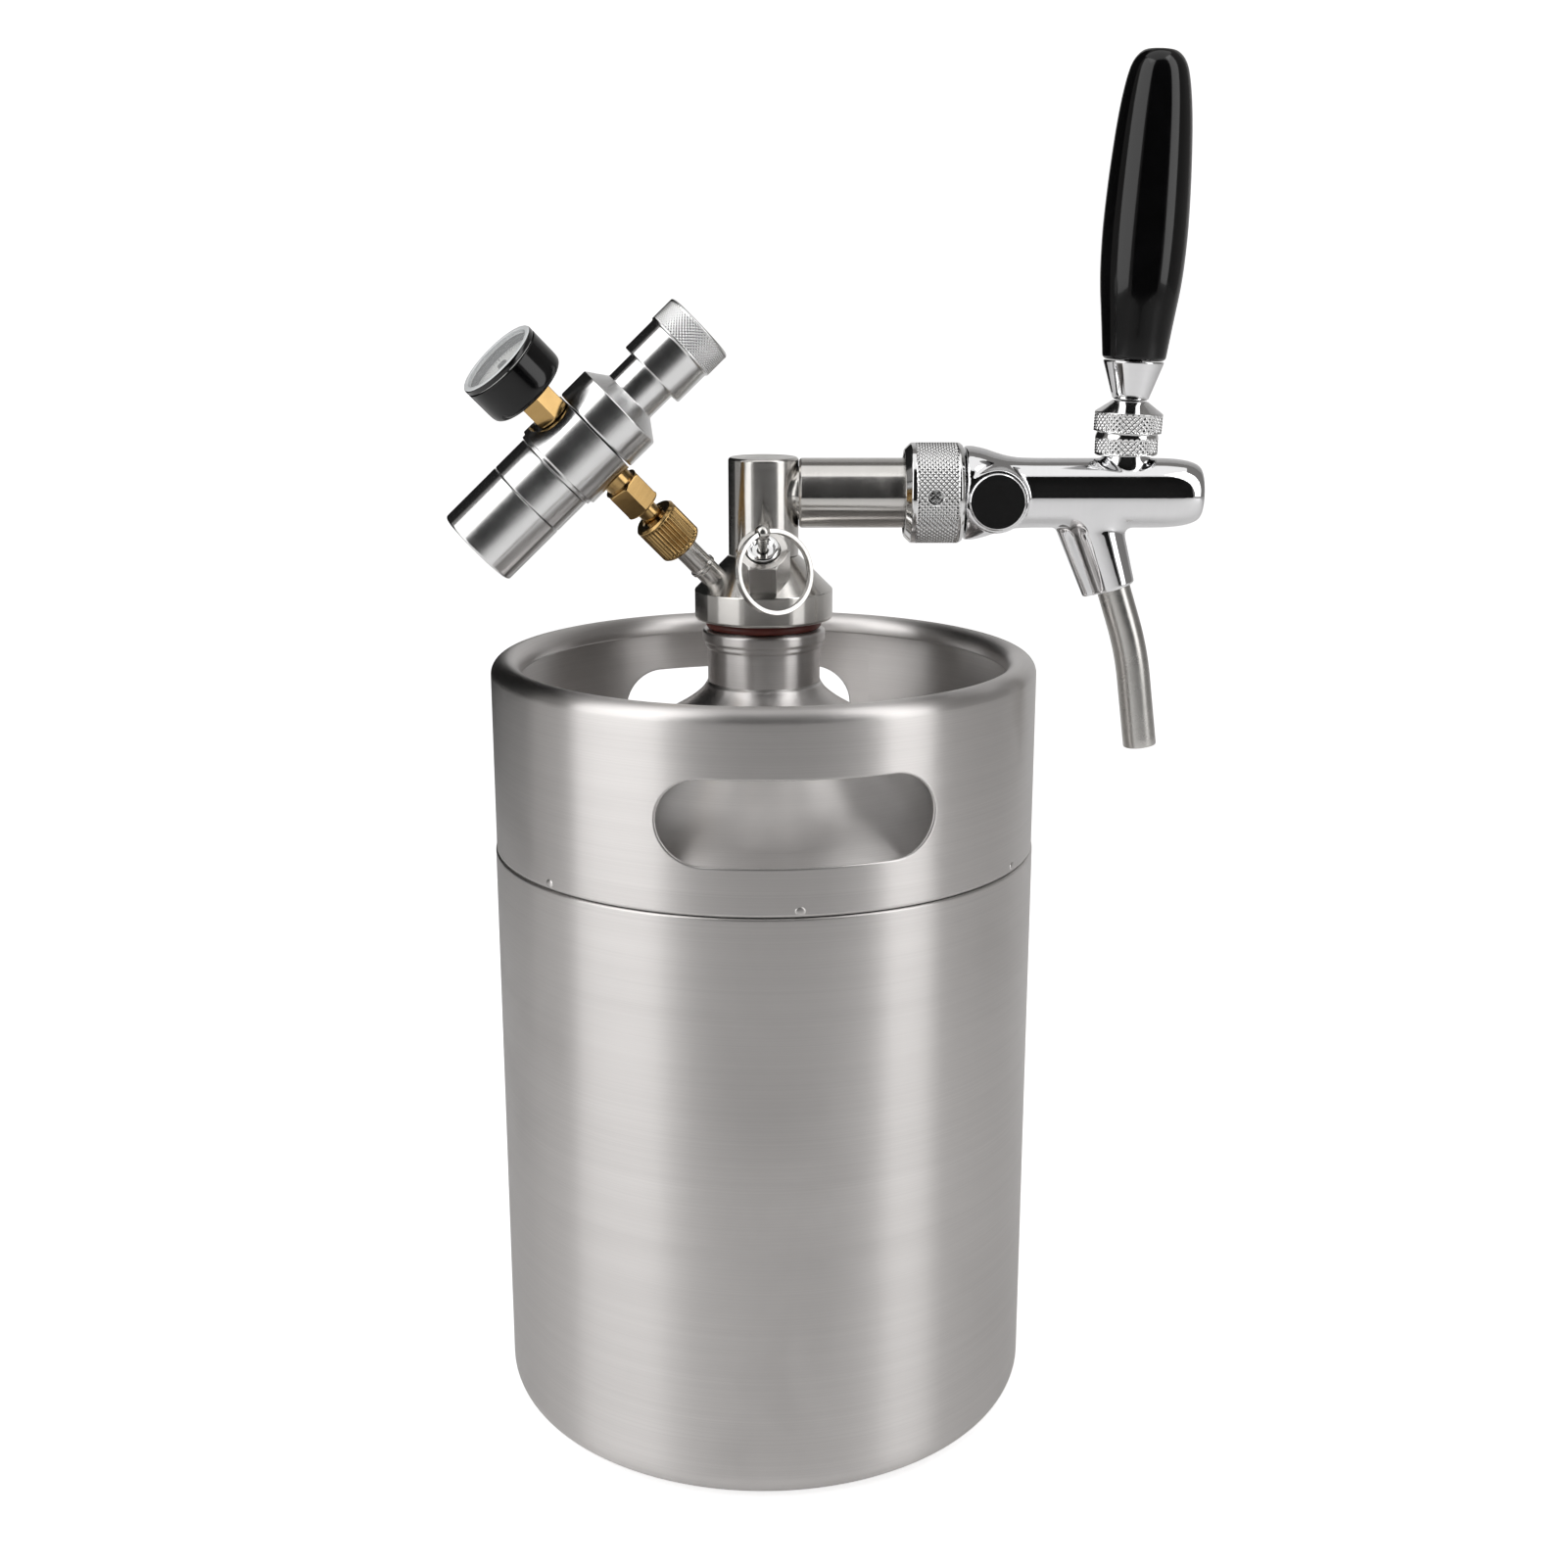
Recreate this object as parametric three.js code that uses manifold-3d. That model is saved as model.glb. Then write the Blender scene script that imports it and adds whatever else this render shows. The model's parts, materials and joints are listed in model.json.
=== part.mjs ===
// Mini beer keg with a screw-in tap head: flow-control faucet on one side, gas regulator on the other.
// Millimetres, +Z up. Origin on the keg's axis at the plane it stands on.
// The tap arm runs along +X, the front handle slot and the relief valve face -Y.
import * as THREE from 'three';
import { mergeVertices } from 'three/addons/utils/BufferGeometryUtils.js';
import Module from 'manifold-3d';

const wasm = await Module();
wasm.setup();

// ---- driving dimensions ----
const gap = 0.3; // clearance between touching pieces
const kegRadius = 84;
const rimHeight = 242.2;
const seamHeight = 183.6;
const sheet = 1.2; // wall of the keg, shoulder and chime
const slotAzimuth = 7.4; // degrees, of the front handle slot, from -Y towards +X
const slotHeight = 24.6;
const slotMiddle = 210.1;
const slotHalfAngle = 28;
const neckRadius = 17.25;
const neckTop = 250.1;
const collarRadius = 21.1;
const collarBottom = 253.4;
const collarTop = 262.6;
const towerRadius = 10.65;
const towerBottom = 272.9;
const towerTop = 302.2;
const armHeight = 291.4; // axis of the arm and the faucet
const armRadius = 10.5;
const faucetStart = 52;
const faucetEnd = 132.5;
const flowX = 69.6; // flow control spindle
const flowZ = 290.1;
const leverX = 109.2; // handle pivot
const leverZ = 305.7;
const leverLean = 2.7; // degrees the closed handle leans away from the keg
const pinDrop = 14.3; // pivot to the pin's tip
const seatX = 86.5;
const reliefOrigin = 253.1; // height where the relief valve's axis meets the keg's axis
const gasOrigin = 250.18; // height where the gas inlet's axis meets the keg's axis
const gasToBody = 81.92; // along the gas axis, to the regulator's own axis

// ---- colours and finishes ----
const finish = (color, roughness, metalness = 1) =>
  new THREE.MeshStandardMaterial({ color, roughness, metalness });
const brushedSteel = () => finish(0xa9a5a0, 0.36);
const polishedSteel = () => finish(0xc4bfb8, 0.14);
const chrome = () => finish(0xe2e3e6, 0.05);
const aluminium = () => finish(0xd0d0d0, 0.16);
const brass = () => finish(0xb08a4a, 0.3);
const springSteel = () => finish(0x8d8d8d, 0.3);
const rubber = (color) => finish(color, 0.7, 0);
const plastic = (color, roughness) => finish(color, roughness, 0);

// ---- geometry helpers ----
const degrees = THREE.MathUtils.degToRad;

// Points on an arc in the (radius, height) plane, from angle a0 to a1 in degrees.
function arc(r, z, radius, a0, a1, steps) {
  return Array.from({ length: steps + 1 }, (_, i) => {
    const a = degrees(a0 + ((a1 - a0) * i) / steps);
    return [r + radius * Math.cos(a), z + radius * Math.sin(a)];
  });
}

// Welds the vertices, drops empty triangles and turns the faces outward.
function closed(geometry) {
  const bare = geometry.index ? geometry.toNonIndexed() : geometry.clone();
  bare.deleteAttribute('normal');
  bare.deleteAttribute('uv');
  const welded = mergeVertices(bare, 1e-4);
  const from = welded.index.array;
  const p = welded.attributes.position.array;
  const kept = [];
  let volume = 0;
  for (let i = 0; i < from.length; i += 3) {
    const [a, b, c] = [from[i], from[i + 1], from[i + 2]];
    if (a === b || b === c || c === a) continue;
    kept.push(a, b, c);
    const [u, v, w] = [a, b, c].map((k) => new THREE.Vector3().fromArray(p, 3 * k));
    volume += u.dot(v.cross(w));
  }
  if (volume < 0) kept.reverse();
  welded.setIndex(kept);
  return welded;
}

// A solid of revolution about Z from [radius, height] points.
function turned(points, sides = 16) {
  const loop = points.map(([r, z]) => new THREE.Vector2(r, z));
  if (points[0][0] > 0) loop.push(loop[0].clone());
  return closed(new THREE.LatheGeometry(loop, sides).rotateX(Math.PI / 2));
}

// A ring or tube with square ends; inner radius 0 gives a plain disc or rod.
function tube(outer, inner, z0, z1, sides = 16) {
  const ends = inner > 0 ? [[inner, z0], [outer, z0], [outer, z1], [inner, z1]]
    : [[0, z0], [outer, z0], [outer, z1], [0, z1]];
  return turned(ends, sides);
}

// A round ring of circular section lying in the XY plane.
function ring(radius, section, z, sides = 16, around = 8) {
  return turned(arc(radius, z, section, 0, 360, around).slice(0, -1), sides);
}

// A prism from an [x, y] outline between two heights.
function prism(points, z0, z1) {
  const shape = new THREE.Shape(points.map(([x, y]) => new THREE.Vector2(x, y)));
  const options = { depth: z1 - z0, bevelEnabled: false };
  return closed(new THREE.ExtrudeGeometry(shape, options).translate(0, 0, z0));
}

// A regular hexagonal prism with flats facing +Y and -Y, turned by some degrees about Z.
function hexagon(acrossFlats, z0, z1, turn = 0) {
  const corner = acrossFlats / Math.sqrt(3);
  return prism(arc(0, 0, corner, turn, turn + 300, 5), z0, z1);
}

const box = (x, y, z, cx, cy, cz) => closed(new THREE.BoxGeometry(x, y, z).translate(cx, cy, cz));
const alongX = (geometry) => geometry.clone().rotateY(Math.PI / 2); // Z becomes X
const alongY = (geometry) => geometry.clone().rotateX(-Math.PI / 2); // Z becomes Y
const moved = (geometry, x, y, z) => geometry.clone().translate(x, y, z);

function toSolid(geometry) {
  const shape = closed(geometry);
  return new wasm.Manifold(new wasm.Mesh({
    numProp: 3,
    vertProperties: new Float32Array(shape.attributes.position.array),
    triVerts: new Uint32Array(shape.index.array),
  }));
}

function fromSolid(solid) {
  const mesh = solid.getMesh();
  const geometry = new THREE.BufferGeometry();
  geometry.setAttribute('position', new THREE.BufferAttribute(mesh.vertProperties, 3));
  geometry.setIndex(new THREE.BufferAttribute(mesh.triVerts, 1));
  return geometry;
}

const join = (...parts) => fromSolid(parts.map(toSolid).reduce((a, b) => a.add(b)));
const cut = (part, ...tools) => fromSolid(tools.map(toSolid).reduce((a, b) => a.subtract(b),
  toSolid(part)));

// A wire of round section wound as a spring about Z.
function spring(radius, wire, z0, z1, turns, stepsPerTurn = 7, sides = 4) {
  class Helix extends THREE.Curve {
    getPoint(t, target = new THREE.Vector3()) {
      const a = 2 * Math.PI * turns * t;
      return target.set(radius * Math.cos(a), radius * Math.sin(a), z0 + wire + (z1 - z0 - 2 * wire) * t);
    }
  }
  const section = new THREE.Shape(arc(0, 0, wire, 0, 360 - 360 / sides, sides - 1)
    .map(([x, y]) => new THREE.Vector2(x, y)));
  const options = { steps: Math.round(turns * stepsPerTurn), extrudePath: new Helix(),
    bevelEnabled: false };
  return closed(new THREE.ExtrudeGeometry(section, options));
}

// A group whose local Z and X axes point along the given directions.
function frame(origin, zAxis, xAxis) {
  const group = new THREE.Group();
  const z = zAxis.clone().normalize();
  const x = xAxis.clone().addScaledVector(z, -xAxis.dot(z)).normalize();
  group.quaternion.setFromRotationMatrix(new THREE.Matrix4().makeBasis(x, z.clone().cross(x), z));
  group.position.copy(origin);
  return group;
}

function add(group, name, geometry, material) {
  const mesh = new THREE.Mesh(geometry, material);
  mesh.name = name;
  group.add(mesh);
}

// ---- the three tilted axes ----
const reliefAxis = new THREE.Vector3(0, -1, 1).normalize();
const relief = frame(new THREE.Vector3(0, 0, reliefOrigin), reliefAxis, new THREE.Vector3(1, 0, 0));
const gasAxis = new THREE.Vector3(-0.6348, -0.3148, 0.7057).normalize();
const gas = frame(new THREE.Vector3(0, 0, gasOrigin), gasAxis, new THREE.Vector3(0, 1, 0));
const regulator = frame(
  new THREE.Vector3(0, 0, gasOrigin).addScaledVector(gasAxis, gasToBody),
  new THREE.Vector3(0.7166, 0.1018, 0.69),
  gasAxis,
);
const lever = new THREE.Group();
lever.position.set(leverX, 0, leverZ);
lever.rotation.y = degrees(leverLean);
for (const group of [relief, gas, regulator, lever]) group.updateMatrix();

const keg = new THREE.Group();

// ---- keg ----
// Drawn cup: flat centre pad, pressed stiffening groove, standing ring, round corner, straight wall.
function kegBody() {
  const corner = 10;
  const grooveDepth = 3;
  const outer = [[0, 0], [22, 0], [27, grooveDepth], [53, grooveDepth], [60, 0],
    ...arc(kegRadius - corner, corner, corner, -90, 0, 4), [kegRadius, seamHeight - gap]];
  const inner = [[kegRadius - sheet, seamHeight - gap],
    ...arc(kegRadius - corner, corner, corner - sheet, 0, -90, 3),
    [60.5, sheet], [53.5, grooveDepth + sheet], [26.5, grooveDepth + sheet], [21.5, sheet], [0, sheet]];
  return turned([...outer, ...inner], 48);
}
add(keg, 'keg_body', kegBody(), brushedSteel());

// Shoulder: a skirt inside the wall, a 30 degree cone and a small flare at the neck.
function kegShoulder() {
  const skirt = kegRadius - sheet - 0.5;
  const bend = 8;
  const outer = [[skirt, 178], ...arc(skirt - bend, 189, bend, 0, 60, 3),
    [24, 227.3], [20.5, 229.9], [18.6, 231.8], [neckRadius + gap, 234]];
  const inner = [[neckRadius + gap, 231.4], [20, 228.1], [23.6, 225.9],
    ...arc(skirt - bend, 189, bend - sheet, 60, 0, 3), [skirt - sheet, 178]];
  return turned([...outer, ...inner], 48);
}
add(keg, 'keg_shoulder', kegShoulder(), brushedSteel());

const neckBore = 15.3;
add(keg, 'keg_neck', turned([[neckBore, 226], [neckRadius, 226], [neckRadius, 244.6], [18.1, 244.9],
  [18.1, 246.4], [18.8, 246.8], [18.8, neckTop - 0.5], [18.3, neckTop], [neckBore, neckTop]], 24),
  brushedSteel());

// Chime: a rolled-over ring with a hand slot at the front and back and three weld beads at each slot.
function topChime() {
  const outerRadius = kegRadius - 0.3;
  const roll = 4.5;
  const rollZ = rimHeight - roll;
  const rollR = outerRadius - roll;
  const body = turned([[outerRadius, seamHeight + 0.2], ...arc(rollR, rollZ, roll, 0, 200, 6),
    ...arc(rollR, rollZ, roll - sheet, 200, 0, 4), [outerRadius - sheet, seamHeight + 0.2]], 48);
  const end = slotHeight / 2;
  const half = outerRadius * Math.sin(degrees(slotHalfAngle)) - end;
  const outline = [...arc(half, 0, end, -90, 90, 6), ...arc(-half, 0, end, 90, 270, 6)];
  const slot = prism(outline, 55, 95).rotateX(Math.PI / 2).translate(0, 0, slotMiddle);
  const bead = closed(new THREE.SphereGeometry(1.5, 6, 4).scale(1.2, 0.7, 1));
  const slots = [0, 180].map((turn) => slot.clone().rotateZ(degrees(slotAzimuth + turn)));
  const beads = [0, 180].flatMap((turn) => [-54.5, 0, 54.5].map((side) => bead.clone()
    .translate(0, -outerRadius, seamHeight + 1.7).rotateZ(degrees(slotAzimuth + turn + side))));
  return join(cut(body, ...slots), ...beads);
}
add(keg, 'top_chime', topChime(), brushedSteel());

// ---- tap head ----
const dipRadius = 4;
// Collar and cone over a threaded plug, drilled for the dip tube, the gas inlet and the relief valve.
function headCap() {
  const plug = 14.7;
  const body = turned([[dipRadius + gap, 238], [plug - 0.8, 238], [plug, 239], [plug, collarBottom],
    [collarRadius - 0.5, collarBottom], [collarRadius, collarBottom + 0.5], [collarRadius, collarTop - 0.3],
    [collarRadius - 0.3, collarTop], [collarTop + collarRadius - 0.3 - (towerBottom - gap),
    towerBottom - gap],
    [dipRadius + gap, towerBottom - gap]], 28);
  const drilled = 9; // radius of the two vertical gas drillings
  const gasWay = join(tube(3.95, 0, 20, 45, 12), tube(1.6, 0, 12.5, 21, 8)).applyMatrix4(gas.matrix);
  const reliefWay = join(tube(8.5, 0, 19.6, 45, 12), tube(4.8, 0, 14, 20, 12), tube(1.6, 0, 12.6, 15, 8))
    .applyMatrix4(relief.matrix);
  const heading = Math.hypot(gasAxis.x, gasAxis.y);
  const gasDrop = moved(tube(1.6, 0, 236, gasOrigin + drilled, 8),
    (drilled * gasAxis.x) / heading, (drilled * gasAxis.y) / heading, 0);
  const reliefDrop = moved(tube(1.6, 0, 236, reliefOrigin + drilled, 8), 0, -drilled, 0);
  return cut(body, gasWay, reliefWay, gasDrop, reliefDrop);
}
add(keg, 'head_cap', headCap(), polishedSteel());
add(keg, 'head_seal', ring(16.4, 1.35, 251.75, 24, 8), rubber(0x4a1512));

const portRadius = 4.5;
const towerShell = turned([[7.5, towerBottom], [towerRadius, towerBottom], [towerRadius, towerTop - 0.6],
  [towerRadius - 0.6, towerTop], [0, towerTop], [0, towerTop - 4], [7.5, towerTop - 4]], 24);
const sidePort = moved(alongX(tube(portRadius, 0, 4, 14, 12)), 0, 0, armHeight);
add(keg, 'tower_tube', cut(towerShell, sidePort), polishedSteel());

// Arm: a square chamfered end standing off the tower on a saddle-cut stub, and the threaded end that the
// coupling nut grips.
const armEnd = faucetStart - 1.8;
const armStart = towerRadius + gap;
const armBar = moved(alongX(turned([[portRadius, 2], [8, 2], [8, armStart], [armRadius - 0.6, armStart],
  [armRadius, armStart + 0.6], [armRadius, 43], [9.4, 43.4], [9.4, 45], [12, 45.4], [12, armEnd],
  [portRadius, armEnd]], 24)), 0, 0, armHeight);
const towerRoom = tube(towerRadius + gap, 0, towerBottom, towerTop + 5, 24);
add(keg, 'tap_arm', cut(armBar, towerRoom), polishedSteel());

add(keg, 'dip_tube', tube(dipRadius, 3, 9, towerBottom - 6, 8), polishedSteel());

// ---- gas inlet on the cone ----
const nippleRadius = 3.65;
add(gas, 'gas_nipple', turned([[1.8, 21], [nippleRadius, 21], [nippleRadius, 28], [4.15, 28.2],
  [4.15, 29.3],
  [nippleRadius, 29.5], [nippleRadius, 38.2], [5.2, 38.6], [5.2, 45.4], [1.8, 45.4]], 12), polishedSteel());

// ---- pressure relief valve ----
const seatTop = 22;
const mouth = 35.7;
const towerClear = towerRoom.clone().applyMatrix4(relief.matrix.clone().invert());
const reliefHex = cut(join(hexagon(13.9, 19.9, 34.4), tube(4.5, 0, 14.3, 20.2, 12)), towerClear,
  tube(1.8, 0, 13, 23, 8), tube(3.5, 0, seatTop, 40, 12), tube(5.3, 0, 30.4, 40, 12));
add(relief, 'relief_body', reliefHex, polishedSteel());
add(relief, 'relief_cap', turned([[1.7, 30.7], [5, 30.7], [5, mouth - 0.4], [4.6, mouth], [3.6, mouth],
  [3.2, mouth - 1.6], [1.7, mouth - 1.6]], 12), polishedSteel());
add(relief, 'relief_spring', spring(2.35, 0.35, 25, 30.4, 4), springSteel());
add(relief, 'relief_seal', tube(3.1, 0, seatTop + 0.2, seatTop + 1.2, 12), rubber(0x202020));
const eyeAt = 42.4; // cross hole that carries the ring
const eyeRadius = 2.3;
const eyeHole = 1.5;
const ringYaw = 30;
const ringLean = 12;
const ringDroop = 13;
// The ring hangs in a plane spanned by a level line and a steep line leaning out from the valve.
const levelLine = new THREE.Vector3(Math.cos(degrees(ringYaw)), Math.sin(degrees(ringYaw)), 0);
const steepLine = new THREE.Vector3(
  Math.sin(degrees(ringYaw)) * Math.sin(degrees(ringLean)),
  -Math.cos(degrees(ringYaw)) * Math.sin(degrees(ringLean)),
  -Math.cos(degrees(ringLean)),
);
const eyeLine = levelLine.clone().multiplyScalar(Math.cos(degrees(ringDroop)))
  .addScaledVector(steepLine, -Math.sin(degrees(ringDroop)));
const hangLine = levelLine.clone().multiplyScalar(Math.sin(degrees(ringDroop)))
  .addScaledVector(steepLine, Math.cos(degrees(ringDroop)));
const eyePoint = new THREE.Vector3(0, 0, reliefOrigin).addScaledVector(reliefAxis, eyeAt);
const eyeDrill = frame(eyePoint, eyeLine, new THREE.Vector3(0, 0, 1));
eyeDrill.updateMatrix();
const drill = tube(eyeHole, 0, -4, 4, 8).applyMatrix4(eyeDrill.matrix)
  .applyMatrix4(relief.matrix.clone().invert());
const stem = turned([[0, 23.5], [3, 23.5], [3, 24.6], [1.35, 24.6], [1.35, eyeAt - 2.6],
  ...arc(0, eyeAt, eyeRadius, -52, 60, 5), [0, eyeAt + 2.2]], 12);
add(relief, 'relief_stem', cut(stem, drill), polishedSteel());
const ringRadius = 11.9;
const ringHalfWidth = 0.7;
const ringHalfHeight = 1;
const pullRing = frame(eyePoint.clone().addScaledVector(hangLine, ringRadius),
  eyeLine.clone().cross(hangLine), eyeLine);
const ringSection = [[-1, -0.6], [-0.5, -1], [0.5, -1], [1, -0.6], [1, 0.6], [0.5, 1], [-0.5, 1], [-1, 0.6]];
const ringOutline = ringSection.map(([x, y]) => [ringRadius + ringHalfWidth * x, ringHalfHeight * y]);
add(pullRing, 'relief_ring', turned(ringOutline, 20), polishedSteel());

// ---- coupling between arm and faucet ----
const spannerHole = moved(tube(2, 0, 10, 20, 8).rotateX(Math.PI / 2), 51.2, 0, armHeight);
const nutShell = moved(alongX(turned([[12.5, 42.4], [13.1, 42.4], [15.1, 44.4], [15.1, 58.8], [14.3, 60],
  [11.4, 60], [11.4, 58], [12.5, 57.6]], 24)), 0, 0, armHeight);
add(keg, 'coupling_nut', cut(nutShell, spannerHole), chrome());
add(keg, 'coupling_washer', moved(alongX(tube(10.8, 5, armEnd + gap, faucetStart - gap, 16)),
  0, 0, armHeight), rubber(0x2a2a2a));

// ---- faucet ----
const chamberRadius = 7.2;
const boreRadius = 5.7;
const plugFace = 13.2; // half width across the flow-control bosses
const bossTop = 304.4;
const ballRadius = 5.3;
const spoutTop = new THREE.Vector3(101.5, 0, 279.6);
const spoutBottom = new THREE.Vector3(107, 0, 262.6);
const ventTop = new THREE.Vector3(92, 0, 280.4);
const ventBottom = new THREE.Vector3(100, 0, 260.4);
const spoutTubeRadius = 5.1;

// A cone frustum between two points of the XZ plane, its start pushed back into the body.
function strut(from, to, r0, r1, back, sides) {
  const along = to.clone().sub(from);
  const length = along.length() + back;
  const placed = frame(from.clone().addScaledVector(along.clone().normalize(), -back), along,
    new THREE.Vector3(0, 1, 0));
  placed.updateMatrix();
  return turned([[0, 0], [r0, 0], [r1, length], [0, length]], sides).applyMatrix4(placed.matrix);
}

function faucetBody() {
  const tubeRadius = 10.45;
  const shell = moved(alongX(turned([[0, faucetStart], [11.8, faucetStart], [11.8, 57.2],
    [11, 57.4], [11, 60.4],
    [13.6, 60.6], [14.1, 61.4], [14, 63.5], [13.3, 66.5], [12, 70.5], [10.9, 74], [tubeRadius, 78],
    [tubeRadius, 120], [9.9, 126.5], [8.9, 130.4], [7.8, 132], [6.6, faucetEnd], [0, faucetEnd]], 20)),
  0, 0, armHeight);
  const bosses = moved(tube(9.4, 0, -plugFace, plugFace, 16).rotateX(Math.PI / 2), flowX, 0, flowZ);
  const leverBoss = moved(tube(6.7, 0, armHeight, bossTop, 16), leverX, 0, 0);
  const socket = strut(spoutTop, spoutBottom, 7.9, 6.6, 7, 16);
  const vent = strut(ventTop, ventBottom, 2.9, 2.3, 6, 8);
  const web = prism([[91, 284], [101, 284], [106.5, 263.4], [100.2, 261]], -1.2, 1.2).rotateX(Math.PI / 2);
  const chamber = moved(alongX(tube(chamberRadius, 0, 50, seatX, 12)), 0, 0, armHeight);
  const seat = moved(alongX(tube(4.2, 0, 80, 92, 12)), 0, 0, armHeight);
  const bore = moved(alongX(tube(boreRadius, 0, seatX + 2, 129, 12)), 0, 0, armHeight);
  const plugBore = moved(tube(7.4, 0, 4, plugFace + 3, 12).rotateX(Math.PI / 2), flowX, 0, flowZ);
  const plugRoom = moved(tube(8.9, 0, plugFace, plugFace + 3, 20).rotateX(Math.PI / 2), flowX, 0, flowZ);
  const spindleBore = moved(alongY(tube(2.45, 0, 4, plugFace + 3, 8)), flowX, 0, flowZ);
  const sealGroove = moved(alongY(tube(4.4, 0, 9.4, 11.8, 12)), flowX, 0, flowZ);
  const ballBore = moved(tube(ballRadius + 0.25, 0, 300.4, bossTop + 2, 12), leverX, 0, 0);
  const pinSlot = prism([[-9.4, 295.6], [2.8, 295.6], [2.8, 301], [-5.6, 301]], -2.1, 2.1)
    .rotateX(Math.PI / 2).translate(leverX, 0, 0);
  const outlet = strut(spoutTop, spoutBottom, 4.2, 4.2, 9, 12);
  const tubeSocket = strut(spoutBottom.clone().lerp(spoutTop, 0.42), spoutBottom, spoutTubeRadius + gap,
    spoutTubeRadius + gap, 0, 20);
  const lastBit = strut(spoutBottom, spoutBottom.clone().multiplyScalar(2).sub(spoutTop),
    spoutTubeRadius + gap, spoutTubeRadius + gap, 0.5, 20);
  return cut(join(shell, bosses, leverBoss, socket, vent, web), chamber, seat, bore, plugBore,
    plugRoom, spindleBore,
    sealGroove, ballBore, pinSlot, outlet, tubeSocket, lastBit);
}
add(keg, 'faucet_body', faucetBody(), chrome());

// Spout: straight out of its socket, one gentle bend, then nearly plumb.
function spoutTube() {
  const slant = spoutBottom.clone().sub(spoutTop).normalize();
  const bend = new THREE.Vector3(113.3, 0, 243.2);
  const tip = new THREE.Vector3(117.3, 0, 213);
  const plumb = tip.clone().sub(bend).normalize();
  const bendLength = 8;
  const before = bend.clone().addScaledVector(slant, -bendLength);
  const after = bend.clone().addScaledVector(plumb, bendLength);
  const path = new THREE.CurvePath();
  path.add(new THREE.LineCurve3(spoutBottom.clone().addScaledVector(slant, -6.4), before));
  path.add(new THREE.QuadraticBezierCurve3(before, bend, after));
  path.add(new THREE.LineCurve3(after, tip));
  const shape = new THREE.Shape().absarc(0, 0, spoutTubeRadius, 0, 2 * Math.PI);
  shape.holes.push(new THREE.Path().absarc(0, 0, spoutTubeRadius - 0.9, 0, 2 * Math.PI));
  const options = { steps: 10, curveSegments: 6, extrudePath: path, bevelEnabled: false };
  return closed(new THREE.ExtrudeGeometry(shape, options));
}
add(keg, 'spout_tube', spoutTube(), polishedSteel());

// ---- flow control inside and behind the faucet ----
const plugGeometry = turned([[0, 8], [7.1, 8], [7.1, plugFace + gap], [8.5, plugFace + gap],
  [8.5, plugFace + 1.1], [8.1, plugFace + 1.5], [0, plugFace + 1.5]], 16).rotateX(Math.PI / 2);
add(keg, 'flow_plug', moved(plugGeometry, flowX, 0, flowZ), chrome());
const crank = 2;
const spindle = join(tube(2.2, 0, 3, 17.2, 8), tube(3.2, 0, 1.9, 3.2, 12),
  moved(tube(1, 0, -1.2, 2.1, 8), 0, -crank, 0));
const spindleHole = tube(1.2, 0, 13.5, 19, 8);
add(keg, 'flow_spindle', moved(alongY(cut(spindle, spindleHole)), flowX, 0, flowZ), polishedSteel());
add(keg, 'spindle_seal', moved(alongY(ring(3.3, 0.75, 10.6, 10, 6)), flowX, 0, flowZ), rubber(0x202020));
// Flow lever: a hub and a flat paddle that points along the faucet.
const paddle = prism([[0, -3], [18, -2.6], ...arc(22, 0, 3.4, -60, 60, 4), [18, 2.6], [0, 3]], 13.8, 16.4);
const flowLever = cut(join(paddle, tube(4.6, 0, 13.8, 17, 12)), tube(2.5, 0, 13, 18, 8));
add(keg, 'flow_lever', moved(alongY(flowLever), flowX, 0, flowZ), chrome());
add(keg, 'lever_screw', moved(alongY(join(tube(3.4, 0, 17.5, 19.2, 12), tube(0.9, 0, 14, 18, 10))),
  flowX, 0, flowZ), polishedSteel());
// Flow cone: a tapered plug with a slotted tail driven by the spindle's crank pin.
function flowCone() {
  const cone = alongX(turned([[0, 54], [3, 54], [6.2, 61], [6.2, 62.4], [0, 62.4]], 12));
  const tail = box(10.2, 2, 5.6, 66.6, 0, 1);
  const slot = box(2.6, 4, 2.9, flowX, 0, flowZ + crank - armHeight);
  return moved(cut(join(cone, tail), slot), 0, 0, armHeight);
}
add(keg, 'flow_cone', flowCone(), plastic(0xe8e4da, 0.5));

// ---- faucet shaft, worked by the handle's pin ----
const pinRest = leverX - pinDrop * Math.sin(degrees(leverLean));
function faucetShaft() {
  const rod = alongX(turned([[0, 82.2], [3, 82.2], [3, 82.9], [1.7, 82.9], [1.7, 98], [5.4, 98], [5.4, 121],
    [0, 121]], 12));
  const slot = prism([[-2.4, -2.8], [2.4, -2.8], [2.4, 0.4], [6.8, 6.2], [-2.8, 6.2], [-2.4, 0.4]],
    -2.2, 2.2)
    .rotateX(Math.PI / 2).translate(pinRest, 0, 0);
  return moved(cut(rod, slot), 0, 0, armHeight);
}
add(keg, 'faucet_shaft', faucetShaft(), polishedSteel());
add(keg, 'shaft_seal', moved(alongX(tube(6.2, 2, 83.2, seatX - gap, 12)), 0, 0, armHeight),
  rubber(0x202020));

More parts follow.
